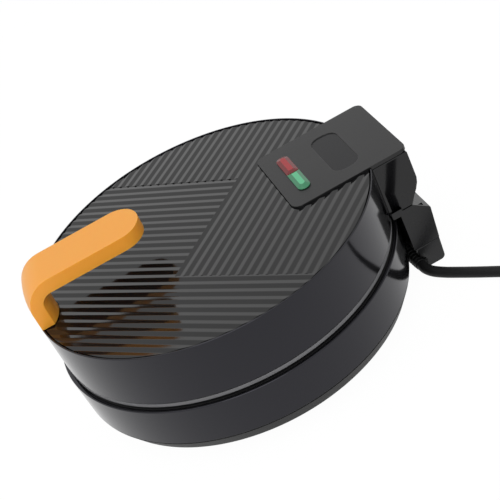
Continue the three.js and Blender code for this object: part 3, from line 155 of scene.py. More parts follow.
class HandleSettings(bpy.types.PropertyGroup):
    """Sizes and colour of the handle."""

    colour: colour_setting("Colour", "Satin orange plastic of the handle", "f8a634")
    half_width: length_setting("Half width", "Half of the tongue's width", 16.5, 8.0)
    edge: length_setting("Edge", "Rounding of the handle's edges", 0.9, 0.1)


class LampSettings(bpy.types.PropertyGroup):
    """Colours and height of the two lamp lenses."""

    red: colour_setting("Red", "Lens that shows that the mains is on", "a52c31")
    green: colour_setting("Green", "Lens that shows that the plates are hot", "5fbf8d")
    height: length_setting("Height", "How far the lenses stand above the plate", 2.0, 0.5)


class PlateSettings(bpy.types.PropertyGroup):
    """Sizes and colour of the baking plates."""

    coating: colour_setting("Coating", "Non-stick coating of both plates", "606062")
    well_radius: length_setting("Well radius", "Radius of the half-round wells", 19.0, 10.0)
    lip: length_setting("Well lip", "Rounding of the edge of each well", 0.8, 0.1)


class CordSettings(bpy.types.PropertyGroup):
    """Sizes and colour of the mains cord."""

    colour: colour_setting("Colour", "Black sheath of the cord, the strain relief and the plug", "101011")
    diameter: length_setting("Diameter", "Diameter of the round mains cord", 6.8, 4.0)


class StageSettings(bpy.types.PropertyGroup):
    """Floor, lamps and camera of the photograph."""

    floor: colour_setting("Floor", "Colour of the floor", "f4f4f4")
    lens: bpy.props.FloatProperty(
        name="Lens", description="Focal length of the camera on a 36 mm wide sensor, in millimetres",
        default=87.25, min=20, max=300)
    key: bpy.props.FloatProperty(
        name="Key lamp", description="Power of the large lamp overhead", subtype="POWER", unit="POWER",
        default=7.4, min=0)
    sky: bpy.props.FloatProperty(
        name="Sky", description="Strength of the even light from all sides", default=0.55, min=0, max=2)


SETTING_GROUPS = {
    "cake_pop_body": BodySettings,
    "cake_pop_handle": HandleSettings,
    "cake_pop_lamps": LampSettings,
    "cake_pop_plates": PlateSettings,
    "cake_pop_cord": CordSettings,
    "cake_pop_stage": StageSettings,
}


def settings(name):
    return getattr(bpy.context.scene, f"cake_pop_{name}")


def in_mm(group, key):
    """A length from the settings, in millimetres."""
    return getattr(settings(group), key) / MM


def colour_of(group, key):
    return tuple(getattr(settings(group), key))


# Outlines


def rounded(corners, radius, steps=EDGE_STEPS):
    """A closed 2-D outline with its corners rounded by one radius, or by one for each corner."""
    count = len(corners)
    radii = radius if isinstance(radius, (list, tuple)) else [radius] * count
    outline = []
    for i, (corner, wanted) in enumerate(zip(corners, radii)):
        here = Vector(corner)
        before = Vector(corners[i - 1]) - here
        after = Vector(corners[(i + 1) % count]) - here
        half = before.angle(after) / 2
        if wanted <= 0 or half > QUARTER - 0.01:
            outline.append(here)
            continue
        reach = min(wanted / math.tan(half), before.length * 0.49, after.length * 0.49)
        turn_radius = reach * math.tan(half)
        inward = (before.normalized() + after.normalized()).normalized()
        centre = here + inward * (turn_radius / math.sin(half))
        start = here + before.normalized() * reach - centre
        end = here + after.normalized() * reach - centre
        first = math.atan2(start.y, start.x)
        sweep = (math.atan2(end.y, end.x) - first + math.pi) % FULL_TURN - math.pi
        outline += [centre + Vector(place) for place in arc(turn_radius, first, sweep, steps)]
    return [(p.x, p.y) for p in outline]


def rectangle(x0, x1, y0, y1):
    return [(x0, y0), (x1, y0), (x1, y1), (x0, y1)]


def leg_outline(clearance):
    """Plan of the handle's leg: flat towards the rim, bulging inwards."""
    half, reach, front = LEG_HALF + clearance, LEG_BULGE + clearance, -LID_RADIUS - clearance
    steps = 25
    bulge = [half - 2 * half * i / steps for i in range(steps + 1)]
    curve = [(x, LEG_CENTRE + math.sqrt(reach * reach - x * x)) for x in bulge]
    return [(-half, front), (half, front)] + curve


def bridge_outline(grow):
    corners = rectangle(-BLOCK_HALF - grow, BLOCK_HALF + grow, 52.9 - grow, 128 + grow)
    return rounded(corners, [6, 6, 5, 5], 10)


# Meshes from outlines


def put_in_scene(name, data):
    item = bpy.data.objects.new(name, data)
    bpy.context.scene.collection.objects.link(item)
    return item


@contextmanager
def edited(piece):
    """The piece's mesh, open for changes that are written back at the end."""
    shape = bmesh.new()
    shape.from_mesh(piece.data)
    yield shape
    shape.to_mesh(piece.data)
    shape.free()


def face_outwards(shape):
    bmesh.ops.remove_doubles(shape, verts=shape.verts, dist=1e-7)
    bmesh.ops.recalc_face_normals(shape, faces=shape.faces)


def new_piece(name, places, faces):
    """A mesh object at the origin, from places in millimetres on the body's axis."""
    mesh = bpy.data.meshes.new(name)
    mesh.from_pydata([spot(*p) for p in places], [], faces)
    mesh.validate()
    piece = put_in_scene(name, mesh)
    with edited(piece) as shape:
        face_outwards(shape)
    return piece


def end_caps(count, last):
    """The first and the last ring of a skin as faces, the last one starting at its own first corner."""
    return [tuple(reversed(range(count))), tuple(range(last, last + count))]


def loft(name, rings):
    """Skins rings of equal count, with a flat cap at each end."""
    count = len(rings[0])
    last = (len(rings) - 1) * count
    faces = []
    for low in range(0, last, count):
        for i in range(count):
            n = (i + 1) % count
            faces.append((low + i, low + n, low + count + n, low + count + i))
    return new_piece(name, [p for ring in rings for p in ring], faces + end_caps(count, last))


def upright(name, outline, low, high):
    """A plan outline pulled up from one level to another."""
    return loft(name, [[(x, y, z) for x, y in outline] for z in (low, high)])


def crosswise(name, outline, x0, x1):
    """An outline in y and z pulled along x."""
    return loft(name, [[(x, y, z) for y, z in outline] for x in (x0, x1)])


def block(name, x0, x1, y0, y1, z0, z1):
    return upright(name, rectangle(x0, x1, y0, y1), z0, z1)


def turned(name, loop, sides=ROUND_SIDES, centre=(0, 0)):
    """A closed loop of radius and height turned about an upright axis; a radius of 0 makes a pole."""
    places, rows = [], []
    for radius, z in loop:
        start = len(places)
        if radius == 0:
            rows.append([start] * sides)
            places.append((*centre, z))
        else:
            rows.append(list(range(start, start + sides)))
            places += [(centre[0] + x, centre[1] + y, z) for x, y in circle(radius, sides)]
    faces = []
    for i, low in enumerate(rows):
        nearest = (i + 1) % len(rows)
        high = rows[nearest]
        if loop[i][0] == 0 and loop[nearest][0] == 0:
            continue
        for k in range(sides):
            n = (k + 1) % sides
            corners = list(dict.fromkeys([low[k], low[n], high[n], high[k]]))
            if len(corners) > 2:
                faces.append(corners)
    return new_piece(name, places, faces)


def disc(name, radius, low, high, centre=(0, 0), sides=64):
    return turned(name, [(0, low), (radius, low), (radius, high), (0, high)], sides, centre)


def rod(name, radius, x0, x1, y, z, sides=64):
    """A cylinder that runs along x."""
    return crosswise(name, [(y + a, z + b) for a, b in circle(radius, sides)], x0, x1)


def tube(name, route, radius, sides):
    """A round tube with closed ends along a route, with a UV map: u along in metres, v once around."""
    points = [Vector(p) for p in route]
    count = len(points)
    along = [(points[min(i + 1, count - 1)] - points[max(i - 1, 0)]).normalized() for i in range(count)]
    side = along[0].orthogonal().normalized()
    places, run = [], [0.0]
    for i, here in enumerate(points):
        side = (side - along[i] * side.dot(along[i])).normalized()
        up = along[i].cross(side)
        places += [here + side * a + up * b for a, b in circle(radius, sides)]
        if i:
            run.append(run[-1] + (here - points[i - 1]).length)
    faces, uvs = [], []
    for i in range(count - 1):
        low, high = i * sides, (i + 1) * sides
        u0, u1 = run[i] * MM, run[i + 1] * MM
        for k in range(sides):
            n = (k + 1) % sides
            faces.append((low + k, low + n, high + n, high + k))
            v0, v1 = k / sides, (k + 1) / sides
            uvs += [(u0, v0), (u0, v1), (u1, v1), (u1, v0)]
    faces += end_caps(sides, (count - 1) * sides)
    uvs += [(0, 0)] * sides + [(run[-1] * MM, 0)] * sides
    mesh = bpy.data.meshes.new(name)
    mesh.from_pydata([spot(*p) for p in places], [], faces)
    layer = mesh.uv_layers.new(name="along")
    layer.data.foreach_set("uv", np.array(uvs, dtype=np.float32).ravel())
    mesh.update()
    return put_in_scene(name, mesh)


# Working on meshes


def baked(piece):
    """Turns the piece's modifiers into its plain mesh."""
    bpy.context.view_layer.update()
    graph = bpy.context.evaluated_depsgraph_get()
    result = bpy.data.meshes.new_from_object(piece.evaluated_get(graph), depsgraph=graph)
    old = piece.data
    piece.modifiers.clear()
    piece.data = result
    result.name = piece.name
    bpy.data.meshes.remove(old)
    return piece


def combine(piece, other, operation):
    change = piece.modifiers.new(operation.lower(), "BOOLEAN")
    change.object = other
    change.operation = operation
    change.solver = "EXACT"
    baked(piece)
    bpy.data.objects.remove(other)
    return piece


def carve(piece, *cutters):
    for cutter in cutters:
        combine(piece, cutter, "DIFFERENCE")
    return piece


def fuse(piece, *others):
    for other in others:
        combine(piece, other, "UNION")
    return piece


def gather(piece, *others):
    """Joins other pieces into one object without changing their shapes."""
    with edited(piece) as shape:
        for other in others:
            shape.from_mesh(other.data)
            bpy.data.objects.remove(other)
    return piece


def soften(piece, width, steps=3, angle=SHARP_ANGLE):
    """Rounds the sharp edges and keeps the flat faces flat."""
    edge = piece.modifiers.new("edges", "BEVEL")
    edge.width = width * MM
    edge.segments = steps
    edge.limit_method = "ANGLE"
    edge.angle_limit = math.radians(angle)
    baked(piece)
    return smooth(piece, 30)


def smooth(piece, angle=SHARP_ANGLE):
    """Smooth shading that leaves sharp edges sharp and large faces flat."""
    piece.data.shade_smooth()
    piece.data.set_sharp_from_angle(angle=math.radians(angle))
    even = piece.modifiers.new("even_normals", "WEIGHTED_NORMAL")
    even.keep_sharp = True
    return baked(piece)


def dress(piece, body, slot, finish, *nodes):
    """Gives a finished piece its material, its body and the CAD nodes that it stands for."""
    if finish is not None:
        piece.data.materials.clear()
        piece.data.materials.append(finish)
    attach(piece, body)
    if nodes:
        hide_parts(*nodes)
    return piece


def paint_where(piece, finish, chosen):
    """Gives a finish to the faces that a test picks by their centre, in millimetres, and their normal."""
    piece.data.materials.append(finish)
    for face in piece.data.polygons:
        x, y, z = face.center / MM
        if chosen(Vector((x, y - AXIS_Y, z)), face.normal):
            face.material_index = 1


# Node groups


def new_group(name, kind, inputs, outputs):
    """An empty node group with its sockets, its input node and its output node."""
    group = bpy.data.node_groups.new(name, kind)
    for in_out, rows in (("INPUT", inputs), ("OUTPUT", outputs)):
        for label, socket_type, *default in rows:
            socket = group.interface.new_socket(label, in_out=in_out, socket_type=f"NodeSocket{socket_type}")
            if default:
                socket.default_value = default[0]
    return group, *add_nodes(group, "NodeGroupInput", "NodeGroupOutput")


def group_once(name, build):
    return bpy.data.node_groups.get(name) or build(name)


def add_nodes(tree, *kinds):
    return [tree.nodes.new(kind) for kind in kinds]


def wire(tree, *rows):
    """Links nodes; each row names a node, its output, the next node and its input."""
    for node, output, following, target in rows:
        tree.links.new(node.outputs[output], following.inputs[target])


# Geometry Nodes


def mesh_tree(name, *inputs):
    geometry = ("Geometry", "Geometry")
    return new_group(name, "GeometryNodeTree", [geometry, *inputs, ("Finish", "Material")], [geometry])


def painted_copies(tree, start, end, merge=False):
    """Nodes that put copies on points and hand them on as one mesh with a finish."""
    place, solid, paint = add_nodes(
        tree, "GeometryNodeInstanceOnPoints", "GeometryNodeRealizeInstances", "GeometryNodeSetMaterial")
    whole = solid
    if merge:
        whole = tree.nodes.new("GeometryNodeMergeByDistance")
        whole.inputs["Distance"].default_value = 1e-6
        wire(tree, (solid, "Geometry", whole, "Geometry"))
    wire(tree, (place, "Instances", solid, "Geometry"), (whole, "Geometry", paint, "Geometry"),
         (start, "Finish", paint, "Material"), (paint, "Geometry", end, "Geometry"))
    return place


def run_tree(piece, tree, values):
    """Runs a node group on a piece with values for its inputs, and keeps the result as the mesh."""
    change = piece.modifiers.new(tree.name, "NODES")
    change.node_group = tree
    for item in tree.interface.items_tree:
        if item.item_type == "SOCKET" and item.in_out == "INPUT" and item.name in values:
            change[item.identifier] = values[item.name]
    return baked(piece)


def set_out_tree(name):
    """Puts a copy of one item on every vertex of the piece."""
    tree, start, end = mesh_tree(name, ("Item", "Object"))
    item = tree.nodes.new("GeometryNodeObjectInfo")
    place = painted_copies(tree, start, end)
    wire(tree, (start, "Item", item, "Object"), (start, "Geometry", place, "Points"),
         (item, "Geometry", place, "Instance"))
    return tree


def set_out(name, places, item, finish=None):
    """Copies of an item, made about the frame's origin, at places in millimetres on the body's axis."""
    mesh = bpy.data.meshes.new(name)
    mesh.from_pydata([spot(*p) for p in places], [], [])
    piece = put_in_scene(name, mesh)
    values = {"Item": item}
    if finish:
        values["Finish"] = finish
    run_tree(piece, group_once("set_out", set_out_tree), values)
    bpy.data.objects.remove(item)
    return piece


def centred(item):
    """Moves an item that was made on the body's axis to the frame's origin."""
    item.data.transform(TO_ORIGIN)
    return item


def flute_tree(name):
    """Repeats one flute's cross-section at a pitch and draws it out to a length."""
    tree, start, end = mesh_tree(name, ("Pitch", "Float"), ("Count", "Int"), ("Length", "Float"))
    drawn, row = add_nodes(tree, "GeometryNodeExtrudeMesh", "GeometryNodeMeshLine")
    direction, step = add_nodes(tree, "ShaderNodeCombineXYZ", "ShaderNodeCombineXYZ")
    drawn.mode = "EDGES"
    drawn.inputs["Offset Scale"].default_value = 1.0
    place = painted_copies(tree, start, end, merge=True)
    wire(tree, (start, "Geometry", drawn, "Mesh"), (start, "Length", direction, "Y"),
         (direction, "Vector", drawn, "Offset"), (start, "Count", row, "Count"), (start, "Pitch", step, "X"),
         (step, "Vector", row, "Offset"), (row, "Mesh", place, "Points"), (drawn, "Mesh", place, "Instance"))
    return tree


# Effects that several materials share


def noise(group, start, scale, detail):
    """A noise texture that takes its place and its scale from the group's inputs."""
    texture = group.nodes.new("ShaderNodeTexNoise")
    texture.inputs["Detail"].default_value = detail
    wire(group, (start, "Vector", texture, "Vector"), (start, scale, texture, "Scale"))
    return texture


def maths(group, operation, second=None):
    node = group.nodes.new("ShaderNodeMath")
    node.operation = operation
    if second is not None:
        node.inputs[1].default_value = second
    return node


def moulded_skin(name):
    """Fine grain of a moulded or rolled surface, with a roughness that wanders over it."""
    group, start, end = new_group(name, "ShaderNodeTree", [
        ("Vector", "Vector"), ("Grain", "Float"), ("Patches", "Float"), ("Roughness", "Float"),
        ("Spread", "Float"),
    ], [("Height", "Float"), ("Roughness", "Float")])
    grain, patches = noise(group, start, "Grain", 3.0), noise(group, start, "Patches", 5.0)
    centre, amount = maths(group, "SUBTRACT", 0.5), maths(group, "MULTIPLY_ADD")
    wire(group, (patches, "Fac", centre, 0), (centre, 0, amount, 0), (start, "Spread", amount, 1),
         (start, "Roughness", amount, 2), (grain, "Fac", end, "Height"), (amount, 0, end, "Roughness"))
    return group


def uneven_colour(name):
    """A colour that drifts a little towards a second one in soft patches and fine flecks."""
    group, start, end = new_group(name, "ShaderNodeTree", [
        ("Vector", "Vector"), ("Colour", "Color"), ("Second", "Color"), ("Patches", "Float", 60.0),
        ("Flecks", "Float", 2500.0), ("Amount", "Float"),
    ], [("Colour", "Color")])
    patches, flecks = noise(group, start, "Patches", 4.0), noise(group, start, "Flecks", 1.0)
    both, share = maths(group, "MULTIPLY"), maths(group, "MULTIPLY")
    mix = group.nodes.new("ShaderNodeMix")
    mix.data_type = "RGBA"
    wire(group, (patches, "Fac", both, 0), (flecks, "Fac", both, 1), (both, 0, share, 0),
         (start, "Amount", share, 1), (share, 0, mix, "Factor"), (start, "Colour", mix, "A"),
         (start, "Second", mix, "B"), (mix, "Result", end, "Colour"))
    return group


def add_group(nodes, name, build, **values):
    node = nodes.new("ShaderNodeGroup")
    node.node_tree = group_once(name, build)
    for label, value in values.items():
        node.inputs[label].default_value = value
    return node


def surface(name, colour, second, roughness, spread=0.06, grain=1500.0, depth=0.02, patches=40.0, amount=0.5,
            **shader):
    """A material with a fine grain and a roughness and a colour that wander, made only once.

    Its second colour is either a colour or a factor on the first one.
    """
    if name in bpy.data.materials:
        return bpy.data.materials[name]
    if isinstance(second, float):
        second = scaled(colour, second)
    material = bpy.data.materials.new(name)
    material.use_nodes = True
    tree = material.node_tree
    main = tree.nodes["Principled BSDF"]
    place, bump = add_nodes(tree, "ShaderNodeTexCoord", "ShaderNodeBump")
    skin = add_group(tree.nodes, "moulded_skin", moulded_skin,
                     Grain=grain, Patches=patches, Roughness=roughness, Spread=spread)
    tint = add_group(tree.nodes, "uneven_colour", uneven_colour,
                     Colour=(*colour, 1), Second=(*second, 1), Amount=amount)
    bump.inputs["Strength"].default_value = depth
    bump.inputs["Distance"].default_value = 0.0002
    wire(tree, (place, "Object", skin, "Vector"), (place, "Object", tint, "Vector"),
         (tint, "Colour", main, "Base Color"), (skin, "Roughness", main, "Roughness"),
         (skin, "Height", bump, "Height"), (bump, "Normal", main, "Normal"))
    for label, value in shader.items():
        main.inputs[label.replace("_", " ")].default_value = value
    material.diffuse_color = (*colour, 1)
    return material


def scaled(colour, factor):
    return tuple(min(c * factor, 1.0) for c in colour)


# Materials


COOL_SHEEN = (0.88, 0.87, 1.0, 1.0)


def gloss_black():
    return surface("gloss_black_plastic", colour_of("body", "black"), 1.5, roughness=0.12, spread=0.05,
                   grain=900.0, patches=25.0, Specular_IOR_Level=0.38, Specular_Tint=COOL_SHEEN)


def block_black():
    return surface("block_satin_plastic", colour_of("body", "black"), 1.5, roughness=0.27, grain=1800.0,
                   depth=0.04, Specular_IOR_Level=0.4)


def ribbed_grey():
    return surface("panel_gloss_plastic", colour_of("body", "ribbed"), 1.4, roughness=0.08, spread=0.03,
                   grain=1800.0, Specular_IOR_Level=0.4)


def satin_grey():
    return surface("bridge_satin_plastic", colour_of("body", "satin"), 1.4, roughness=0.36, spread=0.08,
                   grain=2600.0, depth=0.1, Specular_IOR_Level=0.38)


def recess_grey():
    return surface("recess_smooth_plastic", linear("0d0d10"), linear("121216"), roughness=0.22, spread=0.05,
                   grain=2600.0, depth=0.04, Specular_IOR_Level=0.24)


def matte_black():
    return surface("matte_black_plastic", linear("121213"), linear("1b1b1c"), roughness=0.5, spread=0.1,
                   grain=2600.0, depth=0.15, Specular_IOR_Level=0.16)


def satin_orange():
    return surface("satin_orange_plastic", colour_of("handle", "colour"), 0.93, roughness=0.38, spread=0.08,
                   grain=2200.0, depth=0.08, Subsurface_Weight=0.3, Subsurface_Radius=(1.0, 0.5, 0.2),
                   Subsurface_Scale=0.004)


def lens_plastic(name, colour):
    return surface(name, colour, 0.85, roughness=0.16, grain=1200.0, depth=0.03, Specular_IOR_Level=0.3)


def plate_coating():
    return surface("plate_coating", colour_of("plates", "coating"), 2.6, roughness=0.46, spread=0.14,
                   grain=2600.0, depth=0.7, amount=0.9, Metallic=0.25)


def bright_steel():
    return surface("bright_steel", linear("a9abae"), linear("8d8f94"), roughness=0.33, spread=0.16,
                   grain=3000.0, depth=0.15, Metallic=1.0)


def brass():
    return surface("bright_brass", linear("c2a15a"), linear("a98a4c"), roughness=0.3, spread=0.14,
                   grain=2600.0, depth=0.08, Metallic=1.0)


def soft_rubber():
    return surface("soft_rubber", linear("1f1f20"), linear("2b2b2c"), roughness=0.62, spread=0.16,
                   grain=3500.0, depth=0.25)


def cord_rubber():
    return surface("cord_rubber", colour_of("cord", "colour"), 1.6, roughness=0.5, spread=0.12,
                   grain=2400.0, depth=0.18, Specular_IOR_Level=0.2)


def ceramic():
    return surface("glazed_ceramic", linear("d9d4c6"), linear("c3bca9"), roughness=0.6, spread=0.16,
                   grain=2600.0, depth=0.2)


def lamp_glass():
    return surface("clear_lamp_glass", linear("e8e2da"), linear("d2c8bb"), roughness=0.12, spread=0.05,
                   grain=900.0, Coat_Weight=1.0)


# Stage


FLOOR_HALF = 4.0
FLOOR_GLOW, GLOW_SHARE = 1.02, 0.95
CAMERA_PLACE = (5.6755, -0.2323, 3.3995)
CAMERA_AIM = (-0.83658, 0.06368, -0.54412)
CAMERA_ROLL = math.radians(26.914)
LAMP_AIM = Vector((0, 0, 0.05))


class MakeStage(bpy.types.Operator):
    """Makes the floor, the lamps, the sky and the camera of the photograph"""

    bl_idname = "cake_pop.make_stage"
    bl_label = "Stage"

    def execute(self, context):
        key = settings("stage").key
        make_camera()
        make_floor()
        make_sky()
        make_lamp("key_lamp", (0.25, -0.35, 1.45), 1.5, key)
        make_lamp("fill_lamp", (1.6, -0.5, 0.9), 1.2, key * 1.25)
        context.scene.view_settings.view_transform = "Standard"
        return {"FINISHED"}


def make_camera():
    """The camera of the photograph, placed in radii of the lid from the middle of the lid's top."""
    data = bpy.data.cameras.new("photo_camera")
    data.sensor_width = 36
    data.lens = settings("stage").lens
    data.clip_start, data.clip_end = 0.05, 50
    camera = put_in_scene("photo_camera", data)
    away, aside, up = (LID_RADIUS * share for share in CAMERA_PLACE)
    place = Vector(spot(away, aside, LID_TOP + up))
    forward = Vector(CAMERA_AIM).normalized()
    level = forward.cross(Vector((0, 0, 1))).normalized()
    down = forward.cross(level)
    right = level * math.cos(CAMERA_ROLL) + down * math.sin(CAMERA_ROLL)
    turn = Matrix((right, right.cross(forward), -forward)).transposed()
    camera.matrix_world = Matrix.Translation(place) @ turn.to_4x4()
    bpy.context.scene.camera = camera


def seen_directly(tree):
    """A node that gives 1 to rays from the camera, a mirror image or glass, and 0 to the others."""
    rays = tree.nodes.new("ShaderNodeLightPath")
    mirrored, seen = maths(tree, "MAXIMUM"), maths(tree, "MAXIMUM")
    wire(tree, (rays, "Is Camera Ray", mirrored, 0), (rays, "Is Glossy Ray", mirrored, 1),
         (mirrored, 0, seen, 0), (rays, "Is Transmission Ray", seen, 1))
    return seen


def make_floor():
    mesh = bpy.data.meshes.new("floor")
    corners = rectangle(-FLOOR_HALF, FLOOR_HALF, -FLOOR_HALF, FLOOR_HALF)
    mesh.from_pydata([(x, y, 0) for x, y in corners], [], [(0, 1, 2, 3)])
    floor = put_in_scene("floor", mesh)
    material = bpy.data.materials.new("pale_floor")
    material.use_nodes = True
    tree = material.node_tree
    tree.nodes.clear()
    end, both = add_nodes(tree, "ShaderNodeOutputMaterial", "ShaderNodeMixShader")
    plain, glow = add_nodes(tree, "ShaderNodeBsdfDiffuse", "ShaderNodeEmission")
    plain.inputs["Color"].default_value = (*settings("stage").floor, 1)
    glow.inputs["Strength"].default_value = FLOOR_GLOW
    share = maths(tree, "MULTIPLY", GLOW_SHARE)
    wire(tree, (seen_directly(tree), 0, share, 0), (share, 0, both, "Fac"), (plain, 0, both, 1),
         (glow, 0, both, 2), (both, 0, end, "Surface"))
    mesh.materials.append(material)


def make_sky():
    """Even light from all sides, which looks white where it is seen."""
    world = bpy.data.worlds.new("studio")
    bpy.context.scene.world = world
    world.use_nodes = True
    tree = world.node_tree
    tree.nodes.clear()
    end, choice = add_nodes(tree, "ShaderNodeOutputWorld", "ShaderNodeMixShader")
    light, white = add_nodes(tree, "ShaderNodeBackground", "ShaderNodeBackground")
    for background in (light, white):
        background.inputs["Color"].default_value = (1, 1, 1, 1)
    light.inputs["Strength"].default_value = settings("stage").sky
    wire(tree, (seen_directly(tree), 0, choice, "Fac"), (light, 0, choice, 1), (white, 0, choice, 2),
         (choice, 0, end, "Surface"))


def make_lamp(name, place, size, power):
    data = bpy.data.lights.new(name, "AREA")
    data.shape = "RECTANGLE"
    data.size = data.size_y = size
    data.energy = power
    lamp = put_in_scene(name, data)
    aim = LAMP_AIM - Vector(place)
    lamp.matrix_world = Matrix.Translation(place) @ aim.to_track_quat("-Z", "Y").to_matrix().to_4x4()


# Mains cord


CORD_ROUTE = [
    (37.3, CORD_EXIT_Y, CORD_EXIT_Z), (41.8, 109.9, 5.2), (46.8, 112.1, 4.6), (52.4, 117.0, 3.9),
    (59.4, 124.0, 3.6), (68.3, 132.9, 3.5), (77.4, 142.0, 3.6), (89.0, 153.4, 3.7), (100.0, 168.0, 3.7),
    (107.0, 186.0, 3.7), (109.6, 205.0, 3.7), (110.0, 226.0, 4.3),
]
CORD_RADIUS = 3.4
COIL_ENTRY = (110.0, 250.0)
COIL_ANGLE = 0.0
COIL_RADIUS, COIL_PITCH, COIL_TURNS = 41.5, 7.4, 3
COIL_LOW = CORD_RADIUS + 0.8 + GAP + 0.5
COIL_CENTRE = tuple(e - p for e, p in zip(COIL_ENTRY, polar(COIL_RADIUS, COIL_ANGLE)))
CORD_HEADING = COIL_ANGLE + QUARTER
TAIL = 46.0
PLUG_HEIGHT = 18.0 + GAP
PIN_OFFSET = 9.5


def coil_route():
    """Turns that wind inwards on the floor and outwards again on top."""
    steps = 24
    route = []
    for i in range(COIL_TURNS * steps + 1):
        turn = i / steps
        radius = COIL_RADIUS - COIL_PITCH * min(turn, COIL_TURNS - turn)
        climb = min(max((turn - COIL_TURNS / 2) / 0.5 + 0.5, 0), 1)
        x, y = polar(radius, COIL_ANGLE + turn * FULL_TURN)
        route.append((COIL_CENTRE[0] + x, COIL_CENTRE[1] + y, COIL_LOW + COIL_PITCH * climb))
    dx, dy = polar(CORD_RADIUS * 2, CORD_HEADING)
    first, last = route[0], route[-1]
    return [(first[0] - dx, first[1] - dy, first[2]), *route, (last[0] + dx, last[1] + dy, last[2])]


def plug_spot(along, across=0.0):
    """A place by the plug: so far past the cord's end along its heading, and so far to the side."""
    last = coil_route()[-1]
    dx, dy = polar(TAIL + along, CORD_HEADING)
    sx, sy = polar(across, CORD_HEADING + QUARTER)
    return last[0] + dx + sx, last[1] + dy + sy, PLUG_HEIGHT


def tail_route():
    start = Vector(coil_route()[-1])
    end = Vector(plug_spot(0))
    rise = (end.z - start.z) / 8
    quarter = (end - start) / 4
    return [
        (start.x + quarter.x, start.y + quarter.y, start.z + rise),
        (end.x - quarter.x, end.y - quarter.y, end.z - rise),
        tuple(end),
    ]


def smooth_route(points, spans=6):
    """A centripetal curve through the points, with several steps from each point to the next."""
    knots = [Vector(p) for p in points]
    ends = [knots[0] * 2 - knots[1], *knots, knots[-1] * 2 - knots[-2]]
    route = []
    for i in range(1, len(ends) - 2):
        a, b, c, d = ends[i - 1:i + 3]
        t1 = (b - a).length ** 0.5
        t2 = t1 + (c - b).length ** 0.5
        t3 = t2 + (d - c).length ** 0.5
        for k in range(spans):
            t = t1 + (t2 - t1) * k / spans
            ab = a * ((t1 - t) / t1) + b * (t / t1)
            bc = b * ((t2 - t) / (t2 - t1)) + c * ((t - t1) / (t2 - t1))
            cd = c * ((t3 - t) / (t3 - t2)) + d * ((t - t2) / (t3 - t2))
            left = ab * ((t2 - t) / t2) + bc * (t / t2)
            right = bc * ((t3 - t) / (t3 - t1)) + cd * ((t - t1) / (t3 - t1))
            route.append(left * ((t2 - t) / (t2 - t1)) + right * ((t - t1) / (t2 - t1)))
    route.append(knots[-1])
    return route


class MakeCord(bpy.types.Operator):
    """Makes the mains cord with its strain relief, coil, tie and plug"""

    bl_idname = "cake_pop.make_cord"
    bl_label = "Mains cord"

    def execute(self, context):
        finish = cord_rubber()
        relief = dress(strain_relief(), "base", "rubber", finish, "cord_strain_relief")
        tie = dress(cord_tie(), "base", "rubber", soft_rubber(), "cord_tie")
        plug = dress(plug_body(), "base", "rubber", finish, "plug_body")
        for number, side in ((1, -1), (2, 1)):
            dress(plug_pin(number, side), "base", "brass", brass(), f"plug_pin_{number}")
        route = smooth_route(CORD_ROUTE + coil_route() + tail_route())
        radius = in_mm("cord", "diameter") / 2
        cord = smooth(tube("mains_cord", route, radius, 20), 50)
        dress(cord, "base", "rubber", finish, "power_cord", "cord_coil", "cord_tail")
        return {"FINISHED"}


def lengthwise(piece, place, heading):
    """Lays a piece that was made upright on the frame's origin along a heading, from a place on."""
    turn = Matrix.Rotation(heading, 4, "Z") @ Matrix.Rotation(QUARTER, 4, "Y")
    piece.data.transform(Matrix.Translation(spot(*place)) @ turn @ TO_ORIGIN)
    return piece


def ridge_tree(name):
    """Rings along the taper of the strain relief, each smaller than the last."""
    tree, start, end = mesh_tree(
        name, ("Count", "Int"), ("Spacing", "Float"), ("First Size", "Float"), ("Last Size", "Float"))
    row, step, number, size, scale = add_nodes(
        tree, "GeometryNodeMeshLine", "ShaderNodeCombineXYZ", "GeometryNodeInputIndex", "ShaderNodeMapRange",
        "ShaderNodeCombineXYZ")
    scale.inputs["Z"].default_value = 1.0
    place = painted_copies(tree, start, end)
    wire(tree, (start, "Count", row, "Count"), (start, "Spacing", step, "Z"), (step, "Vector", row, "Offset"),
         (number, "Index", size, "Value"), (start, "Count", size, "From Max"),
         (start, "First Size", size, "To Min"), (start, "Last Size", size, "To Max"),
         (size, "Result", scale, "X"), (size, "Result", scale, "Y"), (row, "Mesh", place, "Points"),
         (start, "Geometry", place, "Instance"), (scale, "Vector", place, "Scale"))
    return tree


def strain_relief():
    """A flange inside the arm, a neck through it, and a ridged taper over the cord outside."""
    root, end = 13.8, 37.0
    core = turned("strain_relief_core", rounded(
        [(0, 7.5), (4.1, 7.5), (4.1, 9.7), (3.5, 9.7), (3.5, root), (4.3, root), (3.75, end), (0, end)],
        [0, 0.3, 0.3, 0, 0.2, 0.3, 0.3, 0], 3), 40)
    ring = turned("strain_relief", rounded([(3.9, 0), (4.9, 0), (4.9, 2), (3.9, 2)], [0, 0.5, 0.5, 0], 3), 40)
    run_tree(centred(ring), group_once("ridges", ridge_tree), {
        "Count": 7, "Spacing": 0.0031, "First Size": 1.0, "Last Size": 0.8, "Finish": cord_rubber()})
    ring.data.transform(Matrix.Translation((0, AXIS_Y * MM, (root + 0.1) * MM)))
    return smooth(lengthwise(gather(ring, core), (0, CORD_EXIT_Y, CORD_EXIT_Z), 0), 40)


